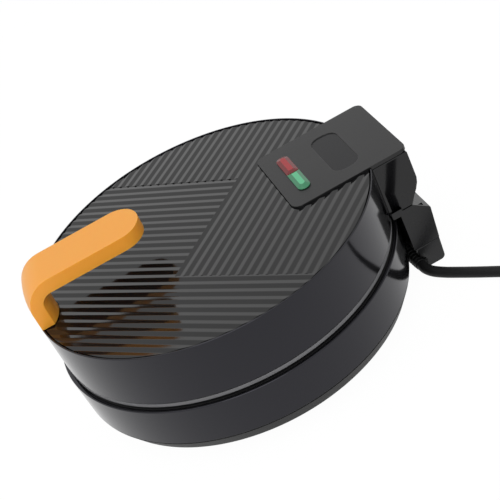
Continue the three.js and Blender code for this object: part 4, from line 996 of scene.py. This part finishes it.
def cord_tie():
    """A strap of soft rubber round the turns of the coil."""
    middle = COIL_RADIUS - COIL_PITCH / 2
    room = CORD_RADIUS + 0.5
    inner, outer = middle - COIL_PITCH - room, middle + room
    low, high = COIL_LOW - room, COIL_LOW + COIL_PITCH + room
    width = 6.0
    angle = COIL_ANGLE + math.pi
    sides = [polar(across, angle + QUARTER) for across in (-width / 2, width / 2)]
    places = []
    for grow, radius in ((0.8, 3.2), (0.0, 2.4)):
        loop = rounded(rectangle(inner - grow, outer + grow, low - grow, high + grow), radius, 6)
        for sx, sy in sides:
            along = [(*polar(a, angle), z) for a, z in loop]
            places += [(COIL_CENTRE[0] + x + sx, COIL_CENTRE[1] + y + sy, z) for x, y, z in along]
    count = len(loop)
    faces = []
    for i in range(count):
        n = (i + 1) % count
        faces += [
            (i, n, count + n, count + i),
            (2 * count + i, 3 * count + i, 3 * count + n, 2 * count + n),
            (i, 2 * count + i, 2 * count + n, n),
            (count + i, count + n, 3 * count + n, 3 * count + i),
        ]
    return smooth(new_piece("cord_wrap_tie", places, faces), 40)


def plug_body():
    """A round two-pin plug with a stepped neck and a plain taper."""
    loop = [(0, 0), (4.4, 0), (6.3, 24), (9, 24.4), (13.0, 40), (14.4, 44), (18, 44), (18, 56), (0, 56)]
    body = turned("mains_plug", rounded(loop, [0, 0.6, 1.2, 1.2, 3, 0.6, 1.4, 1.6, 0], 4), 72)
    return smooth(lengthwise(body, plug_spot(0), CORD_HEADING))


def plug_pin(number, side):
    start, end = 56.3, 75.3
    loop = rounded([(0, start), (2.4, start), (2.4, end), (0, end)], [0, 0.2, 1.2, 0], 5)
    pin = turned(f"mains_plug_pin_{number}", loop, 32)
    return smooth(lengthwise(pin, plug_spot(0, side * PIN_OFFSET), CORD_HEADING), 40)


# Lid


class MakeLidShell(bpy.types.Operator):
    """Makes the lid's side wall with its thin rim, the ledge inside and the seat of the handle's leg"""

    bl_idname = "cake_pop.make_lid_shell"
    bl_label = "Lid shell"

    def execute(self, context):
        rim, ledge = 109.1, 93.8
        edge = in_mm("body", "edge")
        shell = turned("lid_wall", rounded([
            (109.5, LID_BOTTOM), (LID_RADIUS, LID_TOP), (rim, LID_TOP), (rim, LEDGE_TOP), (ledge, LEDGE_TOP),
            (ledge, LEDGE_BOTTOM), (107.6, LEDGE_BOTTOM), (107.1, LID_BOTTOM),
        ], [0.5, edge / 2, 0.3, 0, 0, 0, 0, 0.3]))
        seat = combine(upright("leg_seat", leg_outline(-GAP), LEDGE_BOTTOM + GAP, LID_TOP - GAP),
                       disc("inside_wall", 109.2, LEDGE_BOTTOM, LID_TOP, sides=ROUND_SIDES), "INTERSECT")
        fuse(shell, seat, *[lid_lug(angle) for angle in FIXING_ANGLES])
        wide, low = BLOCK_HALF + GAP, LID_BOTTOM - 1
        carve(
            shell,
            upright("leg_socket", leg_outline(GAP), LID_TOP - GAP, LID_TOP + 1),
            upright("bridge_seat", bridge_outline(GAP), BRIDGE_BOTTOM - GAP, BRIDGE_TOP),
            block("hinge_opening", -wide, wide, 104.7, BEHIND, low, BRIDGE_BOTTOM),
            block("barrel_opening", -BARREL_ROOM_HALF, BARREL_ROOM_HALF, HINGE_Y - BARREL_ROOM, BEHIND, low,
                  HINGE_Z + BARREL_ROOM),
        )
        dress(smooth(shell), "lid", "black_plastic", gloss_black(), "lid_shell")
        return {"FINISHED"}


def lid_lug(angle):
    """A lug inside the lid that carries a boss of the upper plate."""
    arm = block("lid_lug", 88, 108.4, -8, 8, UPPER_FACE + 17.3, UPPER_FACE + 21.2 - GAP)
    arm.data.transform(TO_AXIS @ Matrix.Rotation(angle, 4, "Z") @ TO_ORIGIN)
    return arm


Z_MIDDLE, Z_FAR, Z_NEAR = 5.7, 47.4, -42.4
EIGHTH = math.pi / 4


class MakeRibbedPanel(bpy.types.Operator):
    """Makes the ribbed panel: straight flutes whose direction turns at a Z-shaped line"""

    bl_idname = "cake_pop.make_ribbed_panel"
    bl_label = "Ribbed panel"

    def execute(self, context):
        far = flute_field("flutes_by_the_hinge", EIGHTH, Z_MIDDLE, panel_region("hinge_side", True))
        near = flute_field("flutes_by_the_handle", EIGHTH * 3, 0.0, panel_region("handle_side", False))
        slab = disc("ribbed_panel_top", PANEL_RADIUS, PANEL_BOTTOM, SLAB_TOP, sides=ROUND_SIDES)
        wide, low = BLOCK_HALF + GAP, PANEL_BOTTOM - 1
        carve(
            slab,
            upright("leg_room", leg_outline(GAP), low, LID_TOP),
            block("hinge_room", -wide, wide, 104.4, BEHIND, low, LID_TOP),
            upright("lamp_window", window_outline(), low, LID_TOP),
        )
        panel = smooth(gather(slab, far, near), 32)
        dress(panel, "lid", "ribbed_grey_plastic", ribbed_grey(), "ribbed_panel")
        return {"FINISHED"}


def window_outline():
    """Plan of the capsule-shaped window that the lamps shine through."""
    half_length, half_width, middle = 21.5, 3.1, 66.2
    reach, steps = half_length - half_width, 12
    outline = []
    for side in (1, -1):
        bow = arc(half_width, -side * QUARTER, math.pi, steps)
        outline += [(x + side * reach, middle + y) for x, y in bow]
    return outline


def panel_region(name, far):
    """The part of the panel on one side of the Z line, clear of the bridge plate and the handle's leg."""
    reach = 200
    line = [(-reach, Z_FAR), (Z_MIDDLE, Z_FAR), (Z_MIDDLE, Z_NEAR), (reach, Z_NEAR)]
    if far:
        corners = line + [(reach, reach), (-reach, reach)]
    else:
        corners = [(-reach, -reach), (reach, -reach)] + line[::-1]
    cos, sin = math.cos(EIGHTH), math.sin(EIGHTH)
    outline = [(x * cos - y * sin, x * sin + y * cos) for x, y in corners]
    region = upright(name, outline, SLAB_TOP - 1.2, LID_TOP + 2)
    round_part = disc("panel_disc", PANEL_RADIUS, SLAB_TOP - 1, LID_TOP + 1, sides=ROUND_SIDES + 2)
    combine(region, round_part, "INTERSECT")
    low, high = SLAB_TOP - 3, LID_TOP + 3
    return carve(region, upright("bridge_room", bridge_outline(GAP), low, high),
                 upright("leg_room", leg_outline(GAP), low, high))


def flute_field(name, angle, aside, region):
    """Flutes at a pitch, made solid, turned, and kept only inside a region."""
    pitch, height = in_mm("body", "rib_pitch"), in_mm("body", "rib_height")
    half, soft, span = pitch / 2, 0.35, 118.0
    slope = height / half
    curve = [(soft * k / 3, slope * soft * (k * k / 9 + 1) / 2) for k in range(4)]
    falling = [(x, -z) for x, z in curve] + [(half - x, z - height) for x, z in reversed(curve)]
    section = falling + [(pitch - x, z) for x, z in reversed(falling[:-1])]
    count = math.ceil(2 * span / pitch)
    count += count % 2
    left = -count * pitch / 2
    mesh = bpy.data.meshes.new(name)
    places = [((left + x) * MM, -span * MM, (CREST_TOP + z) * MM) for x, z in section]
    mesh.from_pydata(places, [(i, i + 1) for i in range(len(section) - 1)], [])
    field = put_in_scene(name, mesh)
    run_tree(field, group_once("flutes", flute_tree), {
        "Pitch": pitch * MM, "Count": count, "Length": 2 * span * MM, "Finish": ribbed_grey()})
    close_below(field, (SLAB_TOP - 0.7) * MM)
    field.data.transform(TO_AXIS @ Matrix.Rotation(angle, 4, "Z") @ Matrix.Translation((aside * MM, 0, 0)))
    return combine(field, region, "INTERSECT")


def close_below(piece, level):
    """Makes a sheet solid down to a level."""
    with edited(piece) as shape:
        made = bmesh.ops.extrude_face_region(shape, geom=list(shape.faces))
        for item in made["geom"]:
            if isinstance(item, bmesh.types.BMVert):
                item.co.z = level
        face_outwards(shape)


class MakeBridgePlate(bpy.types.Operator):
    """Makes the plate over the hinge side of the lid, with a bare oval recess and the lamps' window"""

    bl_idname = "cake_pop.make_bridge_plate"
    bl_label = "Bridge plate"

    def execute(self, context):
        middle, half, floor = 94.5, 8.75, BRIDGE_TOP - 0.6
        plate = upright("bridge_top", bridge_outline(0), BRIDGE_BOTTOM, BRIDGE_TOP)
        oval = rounded(rectangle(-23.1, 23.9, middle - half, middle + half), 7.2, 10)
        carve(plate, upright("recess", oval, floor, BRIDGE_TOP + 1),
              upright("lamp_window", window_outline(), BRIDGE_BOTTOM - 1, BRIDGE_TOP + 1))
        soften(plate, 0.22, angle=40)
        gather(plate, *[snap_leg(x, y) for y in (62, 80) for x in (-30, 30)])
        dress(smooth(plate, 32), "lid", "satin_grey_plastic", satin_grey(), "bridge_plate")
        paint_where(plate, recess_grey(),
                    lambda place, normal: normal.z > 0.99 and abs(place.z - floor) < 0.05)
        return {"FINISHED"}


def snap_leg(x, y):
    """A leg below the bridge plate that snaps behind the panel."""
    out = 1 if x > 0 else -1
    root, top, hook, half = BRIDGE_BOTTOM + 1, PANEL_BOTTOM - GAP, x + out * 1.9, 3.5
    corners = [(x - out, root), (x - out, top - 2), (x + out, top - 2), (hook, top - 0.8), (hook, top),
               (x + out, top), (x + out, root)]
    return loft("snap_leg", [[(a, y + away, z) for a, z in corners] for away in (-half, half)])


class MakeLampLenses(bpy.types.Operator):
    """Makes the red and the green half of the lamp capsule"""

    bl_idname = "cake_pop.make_lamp_lenses"
    bl_label = "Lamp lenses"

    def execute(self, context):
        for side, name, key, bevel in ((-1, "red_lens", "red", 1.6), (1, "green_lens", "green", 2.7)):
            colour = colour_of("lamps", key)
            lens = lens_half(f"{name}_cap", side, bevel)
            # Painted shade: the bevels get the lens colour at 0.45, darker than the full colour of the flat
            # top.
            dress(lens, "lid", name, lens_plastic(f"{name}_bevel", scaled(colour, 0.45)), name)
            paint_where(lens, lens_plastic(f"{name}_top", colour),
                        lambda place, normal: normal.z > 0.99 and place.z > BRIDGE_TOP + 1)
        return {"FINISHED"}


def lens_half(name, side, inner_bevel):
    """Half a capsule on the plate, with wide bevels round a flat top and a neck through the window."""
    top, low = BRIDGE_TOP + in_mm("lamps", "height"), BRIDGE_TOP + GAP
    half_length, half_width, middle, parting, steps = 22.5, 4.1, 66.3, 0.15, 14

    def ring(inset, z, start, end=0.0):
        half = half_width - inset
        reach = half_length - inset - end - half
        bow = [(reach + x, y) for x, y in arc(half, -QUARTER, math.pi, steps)]
        outline = [(parting + start, -half), *bow, (parting + start, half)]
        return [(side * x, middle + side * y, z) for x, y in outline]

    rings = [
        ring(1.3, low - 6.9, 0), ring(1.3, low, 0), ring(0, low, 0), ring(0, top - 1.35, 0),
        ring(0.1, top - 1.2, 0.1), ring(2.25, top - 0.05, inner_bevel, 1.2),
        ring(2.4, top, inner_bevel + 0.2, 1.3),
    ]
    return smooth(loft(name, rings), 20)


# Handle


class MakeHandle(bpy.types.Operator):
    """Makes the handle: a flat tongue over the lid that bends down to a leg on the rim"""

    bl_idname = "cake_pop.make_handle"
    bl_label = "Handle"

    def execute(self, context):
        handle = soften(handle_body(), in_mm("handle", "edge"), 4)
        dress(handle, "lid", "orange_plastic", satin_orange(), "handle")
        return {"FINISHED"}


def handle_path(start, radius, level, end):
    """Up the leg, round the bend and along the tongue, as y and z."""
    bends, flats = 14, 10
    route = [(start, LID_TOP + (level - radius - LID_TOP) * k / 3) for k in range(3)]
    route += [(start + radius + a, level - radius + b) for a, b in arc(radius, math.pi, -QUARTER, bends)]
    route += [(start + radius + (end - start - radius) * k / flats, level) for k in range(1, flats + 1)]
    return route


def handle_body():
    """Two skins over the same columns from side to side, closed along the sides and at both ends."""
    half = in_mm("handle", "half_width")
    under, outer_bend, inner_bend = HANDLE_TOP - 9, 18, 7.5
    tip, tip_length = -27.8, 15.0
    columns = 32
    outer, inner = [], []
    for j in range(columns + 1):
        turn = -QUARTER + math.pi * j / columns
        x = half * math.sin(turn)
        end = tip - tip_length * (1 - math.cos(turn))
        front = -math.sqrt(LID_RADIUS ** 2 - x * x)
        back = LEG_CENTRE + math.sqrt(LEG_BULGE ** 2 - x * x)
        outer.append([(x, y, z) for y, z in handle_path(front, outer_bend, HANDLE_TOP, end)])
        inner.append([(x, y, z) for y, z in handle_path(back, inner_bend, under, end)])
    rows, width = len(outer[0]), columns + 1
    places = [skin[j][i] for skin in (outer, inner) for i in range(rows) for j in range(width)]
    under_skin = rows * width
    faces = []
    for i in range(rows - 1):
        for j in range(columns):
            a = i * width + j
            quad = (a, a + 1, a + 1 + width, a + width)
            faces += [quad, tuple(under_skin + quad[k] for k in (0, 3, 2, 1))]
        for j in (0, columns):
            a = i * width + j
            faces.append((a, a + width, a + width + under_skin, a + under_skin))
    for i in (0, rows - 1):
        for j in range(columns):
            a = i * width + j
            faces.append((a, a + 1, a + 1 + under_skin, a + under_skin))
    return new_piece("handle_tongue", places, faces)


# Hinge blocks


class MakeHingeBlocks(bpy.types.Operator):
    """Makes the lid's hinge block, the base's hinge housing and the cover below it"""

    bl_idname = "cake_pop.make_hinge_blocks"
    bl_label = "Hinge blocks"

    def execute(self, context):
        finish = block_black()
        dress(lid_block(), "lid", "black_plastic", finish, "lid_hinge_block")
        dress(base_housing(), "base", "black_plastic", finish, "base_hinge_housing")
        dress(rear_cover(), "base", "black_plastic", finish, "rear_housing_cover")
        return {"FINISHED"}


def full_width(name, outline, half):
    """An outline in y and z, as wide to one side as to the other."""
    return crosswise(name, outline, -half, half)


def lid_block():
    """The hollow block below the bridge plate, with a hollow in each flank and two knuckles for the pins."""
    bottom, top, front, foot = 47.7, BRIDGE_BOTTOM - GAP, 105, 118.7
    curve = [(121.36, 52.12), (124.18, 56.07), (126.17, 60.02)]
    outline = [(front, bottom), (foot, bottom), *curve, (127, 63.5), (127, top), (front, top)]
    solid = full_width("lid_block", rounded(outline, [0.3, 0.8, 2, 3, 3, 2, 0.8, 0.3], 4), BLOCK_HALF)
    cheek, low, roof = BLOCK_HALF - 6, bottom - 1, top - 2.5
    cavity = [(107.5, low), (foot, low), (123, 58.5), (124.5, 63.5), (124.5, roof), (107.5, roof)]
    carve(
        solid, full_width("cavity", cavity, cheek),
        *[block_flank(side, low, top - 0.8) for side in SIDES],
        *[block("tab_room", *span(side, cheek, 37), 107.7, 110.7, low, 50.9) for side in SIDES],
    )
    soften(solid, 0.3)
    for side in SIDES:
        x0, x1 = span(side, BARREL_ROOM_HALF, cheek + 1)
        fuse(solid, soften(front_strip(side, bottom + 0.1, top - 0.1), 0.1, 2, 40),
             rod("knuckle", 8.6, x0, x1, HINGE_Y, HINGE_Z),
             block("web", x0, x1, HINGE_Y - 1.5, HINGE_Y + 1.5, HINGE_Z, top - 1))
    carve(
        solid,
        *[rod("pin_bore", 4.36, *span(side, 19.7, 30), HINGE_Y, HINGE_Z) for side in SIDES],
        disc("plate_room", 109.3, low, LID_BOTTOM, sides=ROUND_SIDES),
        block("barrel_room", -BARREL_ROOM_HALF, BARREL_ROOM_HALF, 104, 128, low, HINGE_Z + BARREL_ROOM),
    )
    return smooth(solid)


def front_strip(side, low, high):
    """The strip beside the lid's wall, whose front follows the wall's round and its draft."""
    inner, outer = 33.4, BLOCK_HALF
    rings = []
    for z in (low, high):
        wall = 109.5 + 0.5 * (z - LID_BOTTOM) / (LID_TOP - LID_BOTTOM) + 0.12
        curve = [(x, math.sqrt(wall * wall - x * x)) for x in (outer, 34.6, inner)]
        plan = curve + [(inner, 105.5), (outer, 105.4)]
        rings.append([(side * x, y, z) for x, y in plan])
    return loft("front_strip", rings)


def block_flank(side, low, high):
    """The hollow in a side of the lid's block behind its front strip, which ends on a slanted swell."""
    outer, floor, start = 37.0, 31.6, 105.3
    rise, steps = BLOCK_HALF + 0.02 - floor, 16
    shares = [k / steps for k in range(steps + 1)]
    swells = [(floor + rise * share * share * (3 - 2 * share), share - 0.5) for share in shares]
    rings = []
    for z, middle, swell in ((low, 108.7, 6.4), (60.0, 108.9, 6.8), (high, 117.8, 11.0)):
        curve = [(x, middle + swell * y) for x, y in swells]
        plan = [(outer, start), (floor, start), *curve, (outer, curve[-1][1])]
        rings.append([(side * x, y, z) for x, y in plan])
    return loft("block_flank", rings)


def base_housing():
    """The slanted housing behind the base's wall, with a tab at each side and the hinge's barrel."""
    top, front, low = 46.9, 109.3, BASE_BOTTOM - 1
    outline = [(front, BASE_BOTTOM), (126.7, BASE_BOTTOM), (128.4, 39.8), (118.8, top), (110.4, top),
               (front, top - 1.1)]
    solid = full_width("hinge_housing", rounded(outline, [0.3, 0.3, 1, 0.8, 0.3, 0.3], 4), BLOCK_HALF)
    cavity = [(114.6, low), (124.2, low), (125.9, 38.5), (118.8, top - 2.5), (114.6, top - 2.5)]
    corners = [(34.9, 121.6), (34.9, 125), (31.2, 125.2)]
    carve(
        solid, full_width("cavity", cavity, BLOCK_HALF - 2.5),
        turned("base_wall_room", [(0, 15), (110.8, 15), (112.25, 48), (0, 48)]),
        *[upright("slope_hole", [(side * x, y) for x, y in corners], 38, 48) for side in SIDES],
    )
    soften(solid, 0.6)
    tab_outer, tab_front, tab_back, barrel_half = 37.4, 103.8, 111.2, 20
    for side in SIDES:
        tab = block("tab", *span(side, 34.5, tab_outer), tab_front, tab_back, 44.7, 46.6)
        fuse(tab, block("tab_lip", *span(side, 36.5, tab_outer), tab_front, tab_back, 46, 49.4))
        fuse(solid, soften(tab, 0.2, 2))
    fuse(solid, rod("barrel", 9.5, -barrel_half, barrel_half, HINGE_Y, HINGE_Z),
         block("stem", -barrel_half, barrel_half, 109.6, 121.4, top - 2.5, HINGE_Z))
    slot = [(105, 56.9), (118.9, 56.9), (118.9, HINGE_Z), (126, 70.8), (105, 70.8)]
    carve(
        solid,
        *[rod("pin_bore", 4.3, *span(side, 8, 21), HINGE_Y, HINGE_Z) for side in SIDES],
        block("lead_channel", -3.4, 3.4, 112.1, 118.9, 23.8, HINGE_Z),
        full_width("lead_slot", slot, 3.4),
    )
    return smooth(solid)


def rear_cover():
    """The cover below the housing, with the arm under the base that holds the strain relief."""
    front, floor, top = 110.4, 0.4, COVER_TOP
    outline = [(front, floor), (126, floor), (126.7, top), (front, top)]
    solid = soften(full_width("rear_cover", rounded(outline, [1.5, 3, 0, 0], 6), BLOCK_HALF), 0.7)
    carve(solid, block("inside", -33.5, 33.5, 114.6, 123.5, floor + 2.5, top + 1),
          rod("relief_room", 5.2, 5, 39, CORD_EXIT_Y, CORD_EXIT_Z))
    arm = block("cord_arm", -16, 13.5, 88, 114, floor + 0.1, 10.2)
    carve(arm, rod("neck_hole", 3.8, 9.3, 38, CORD_EXIT_Y, CORD_EXIT_Z),
          block("arm_inside", -13.5, 10, 90.5, 115.1, floor + 0.7, 11.5))
    fuse(solid, arm)
    carve(solid, turned("cover_room", [(0, 6.9), (105.6, 6.9), (110.8, COVER_TOP), (110.8, 18), (0, 18)]))
    return smooth(solid)


# Base


class MakeBase(bpy.types.Operator):
    """Makes the base shell and the bevelled cover below it"""

    bl_idname = "cake_pop.make_base"
    bl_label = "Base shell and bottom cover"

    def execute(self, context):
        dress(base_shell(), "base", "black_plastic", gloss_black(), "base_shell")
        dress(bottom_cover(), "base", "black_plastic", matte_black(), "bottom_cover")
        return {"FINISHED"}


def base_shell():
    """The round wall with the ledge that carries the lower plate, and the posts of the cover's screws."""
    inner, ledge = 109.4, LOWER_FACE - FLANGE - GAP
    edge = in_mm("body", "edge")
    shell = turned("base_wall", rounded([
        (110.5, BASE_BOTTOM), (111.8, BASE_TOP), (inner, BASE_TOP), (inner, ledge), (104, ledge),
        (104, ledge - 2), (inner, ledge - 2), (108.1, BASE_BOTTOM),
    ], [0.4, edge * 0.8, 0.3, 0, 0, 0, 0, 0.3]))
    gather(shell, *[disc("cover_post", 4.5, 13.5, 23.8, place, 32) for place in screw_places()])
    return smooth(shell)


def bottom_cover():
    """The dish below the base, with cups for its screws and holes for the feet."""
    bottom, floor = COVER_BOTTOM, COVER_BOTTOM + 2.4
    cover = turned("bottom_dish", rounded([
        (0, bottom), (105.3, bottom), (110.5, COVER_TOP), (108.1, COVER_TOP), (102.9, floor), (0, floor),
    ], [0, 1.2, 0.4, 0.2, 0, 0]))

    def discs(name, radius, low, high, places, sides):
        return gather(*[disc(name, radius, low, high, place, sides) for place in places])

    fuse(cover, discs("cups", 6.5, bottom + 0.8, bottom + 5.6, screw_places(), 38))
    carve(
        cover,
        discs("wells", 4, bottom - 1, bottom + 3.1, screw_places(), 30),
        discs("holes", 2, bottom + 1, bottom + 7, screw_places(), 22),
        discs("foot_holes", 3, bottom - 1, floor + 1, foot_places(), 26),
        block("lead_gate", -13.4, -7, 90, 104, bottom - 1, floor + 1),
    )
    return smooth(cover)


SCREW_CIRCLE, FOOT_CIRCLE = 94, 84


def screw_places():
    return [polar(SCREW_CIRCLE, angle + math.pi) for angle in FIXING_ANGLES]


def foot_places():
    turns = [math.radians(side * angle) for angle in (20, 135) for side in SIDES]
    return [polar(FOOT_CIRCLE, QUARTER + turn) for turn in turns]


class MakeFeetAndScrews(bpy.types.Operator):
    """Makes the rubber feet and the screws of the bottom cover"""

    bl_idname = "cake_pop.make_feet_and_screws"
    bl_label = "Feet and screws"

    def execute(self, context):
        feet = set_out("rubber_feet", [(*place, 0) for place in foot_places()], rubber_foot(), soft_rubber())
        dress(smooth(feet, 40), "base", "rubber", None, *[f"rubber_foot_{i}" for i in (1, 2, 3, 4)])
        places = [(*place, COVER_BOTTOM + 2.8) for place in screw_places()]
        screws = set_out("cover_screws", places, pan_screw(9.0), bright_steel())
        dress(smooth(screws, 40), "base", "steel", None, *[f"bottom_cover_screw_{i}" for i in (1, 2, 3)])
        return {"FINISHED"}


def rubber_foot():
    """A foot with a stem that snaps into its hole."""
    return centred(turned("foot", rounded([
        (0, 0), (7.5, 0), (7.5, 6.9), (2.7, 6.9), (2.7, 9.9), (4, 9.9), (2.7, 11.1), (0, 11.1),
    ], [0, 1, 0.6, 0.2, 0.2, 0.3, 0.3, 0], 4), 40))


def pan_screw(length):
    """A pan-head screw with a cross recess, its head at z = 0 and its shank pointing up."""
    head, shank, height = 3.5, 1.7, 2.2
    screw = turned("pan_screw", rounded([
        (0, -height), (head, -height), (head, 0), (shank, 0), (shank, length), (0, length),
    ], [0, 1.1, 0.2, 0, 0.4, 0], 4), 32)
    reach, half = 1.9, 0.38
    arms = [block("recess", -x, x, -y, y, -3, -1.1) for x, y in ((reach, half), (half, reach))]
    return centred(carve(screw, *arms))


# Baking plates


class MakeBakingPlates(bpy.types.Operator):
    """Makes the coated lower and upper plate with their half-round wells"""

    bl_idname = "cake_pop.make_baking_plates"
    bl_label = "Baking plates"

    def execute(self, context):
        lower = baking_plate(-1, LOWER_FACE, "lower_plate_coated")
        dress(lower, "base", "coated_aluminium", plate_coating(), "lower_plate")
        # Painted shade: the lower plate's outer rim gets the matte black finish, so that it reads as the dark
        # gap in the seam below the lid.
        paint_where(lower, matte_black(),
                    lambda place, normal: place.xy.length > 104.8 and place.z > LOWER_FACE - FLANGE)
        upper = baking_plate(1, UPPER_FACE, "upper_plate_coated")
        dress(upper, "lid", "coated_aluminium", plate_coating(), "upper_plate")
        return {"FINISHED"}


INNER_WELLS, OUTER_WELLS, BOSS_CIRCLE = 27, 75, 95


def well_places(level):
    rings = circle(INNER_WELLS, 3, -QUARTER) + circle(OUTER_WELLS, 9, QUARTER)
    return [(*place, level) for place in rings]


def baking_plate(side, face, name):
    """A round plate whose back lies on one side of its face, with bumps behind it and wells in it."""
    low, high = sorted((face, face + side * FLANGE))
    middle = side * FLANGE / 2
    if side < 0:
        rim = [(109, low), (109, low + 0.4), (104.6, high)]
    else:
        rim = [(109, low), (109, high + 0.25), (106.4, high + 0.25), (105.8, high)]
    radii = [0] + [0.3] * len(rim) + [0]
    plate = turned(name, rounded([(0, low), *rim, (0, high)], radii, 4))
    radius = in_mm("plates", "well_radius")
    bump_radius = radius + 2.2
    bow = [(r, max(z, FLANGE / 2) * side) for r, z in arc(bump_radius, 0, QUARTER, 14)[:-1]]
    bump = turned("bump", [(0, middle), *bow, (0, bump_radius * side)], 48)
    fuse(plate, set_out("bumps", well_places(face), centred(bump)))
    ball = turned("ball", [(0, -radius), *arc(radius, -QUARTER, math.pi, 28)[1:-1], (0, radius)], 56)
    carve(plate, set_out("balls", well_places(face), centred(ball)))
    levels = sorted((face + middle, face + side * 17))
    fuse(plate, *[disc("boss", 4.5, *levels, polar(BOSS_CIRCLE, angle), 28) for angle in FIXING_ANGLES])
    round_lips(plate, face)
    return smooth(plate, 30)


def round_lips(plate, face):
    """Rounds the sharp edges that lie in the plate's face, which are the edges of the wells."""
    with edited(plate) as shape:
        sharp = [edge for edge in shape.edges if edge.calc_face_angle(0) > math.radians(75)]
        lips = [edge for edge in sharp if all(abs(vert.co.z - face * MM) < 1e-5 for vert in edge.verts)]
        width = settings("plates").lip
        bmesh.ops.bevel(shape, geom=lips, offset=width, segments=3, profile=0.5, affect="EDGES")


# Inner parts that keep their CAD shapes


class FinishInnerParts(bpy.types.Operator):
    """Gives the heating parts, screws, leads and lamps inside their finishes"""

    bl_idname = "cake_pop.finish_inner_parts"
    bl_label = "Inner parts"

    def execute(self, context):
        finishes = {
            "steel": bright_steel, "ceramic": ceramic, "rubber": soft_rubber, "brass": brass,
            "lamp_glass": lamp_glass, "coated_aluminium": plate_coating, "black_plastic": gloss_black,
            "ribbed_grey_plastic": ribbed_grey, "satin_grey_plastic": satin_grey,
            "orange_plastic": satin_orange,
        }
        slots = {row["node"]: row["material_slot"] for row in frame["record"]["subparts"]}
        for name, node in frame["nodes"].items():
            if node.hide_render or slots[name] not in finishes:
                continue
            finish = finishes[slots[name]]()
            node.data.materials.clear()
            node.data.materials.append(finish)
        return {"FINISHED"}


# Panel and registration


OPERATORS = [
    MakeStage, MakeCord, MakeLidShell, MakeRibbedPanel, MakeBridgePlate, MakeLampLenses, MakeHandle,
    MakeHingeBlocks, MakeBase, MakeFeetAndScrews, MakeBakingPlates, FinishInnerParts,
]


class CakePopPanel(bpy.types.Panel):
    """Lists the settings and the pieces of the cake pop maker"""

    bl_idname = "VIEW3D_PT_cake_pop"
    bl_label = "Cake Pop Maker"
    bl_space_type = "VIEW_3D"
    bl_region_type = "UI"
    bl_category = "Cake Pop Maker"

    def draw(self, context):
        for name, group in SETTING_GROUPS.items():
            box = self.layout.box()
            box.label(text=group.__name__.replace("Settings", ""))
            for key in group.__annotations__:
                box.prop(getattr(context.scene, name), key)
        for operator in OPERATORS:
            self.layout.operator(operator.bl_idname)


CLASSES = [*SETTING_GROUPS.values(), *OPERATORS, CakePopPanel]


def register():
    for item in CLASSES:
        bpy.utils.register_class(item)
    for name, group in SETTING_GROUPS.items():
        setattr(bpy.types.Scene, name, bpy.props.PointerProperty(type=group))


def unregister():
    for name in SETTING_GROUPS:
        delattr(bpy.types.Scene, name)
    for item in reversed(CLASSES):
        bpy.utils.unregister_class(item)


def main():
    register()
    for operator in OPERATORS:
        group, action = operator.bl_idname.split(".")
        getattr(getattr(bpy.ops, group), action)()


if __name__ == "__main__":
    main()
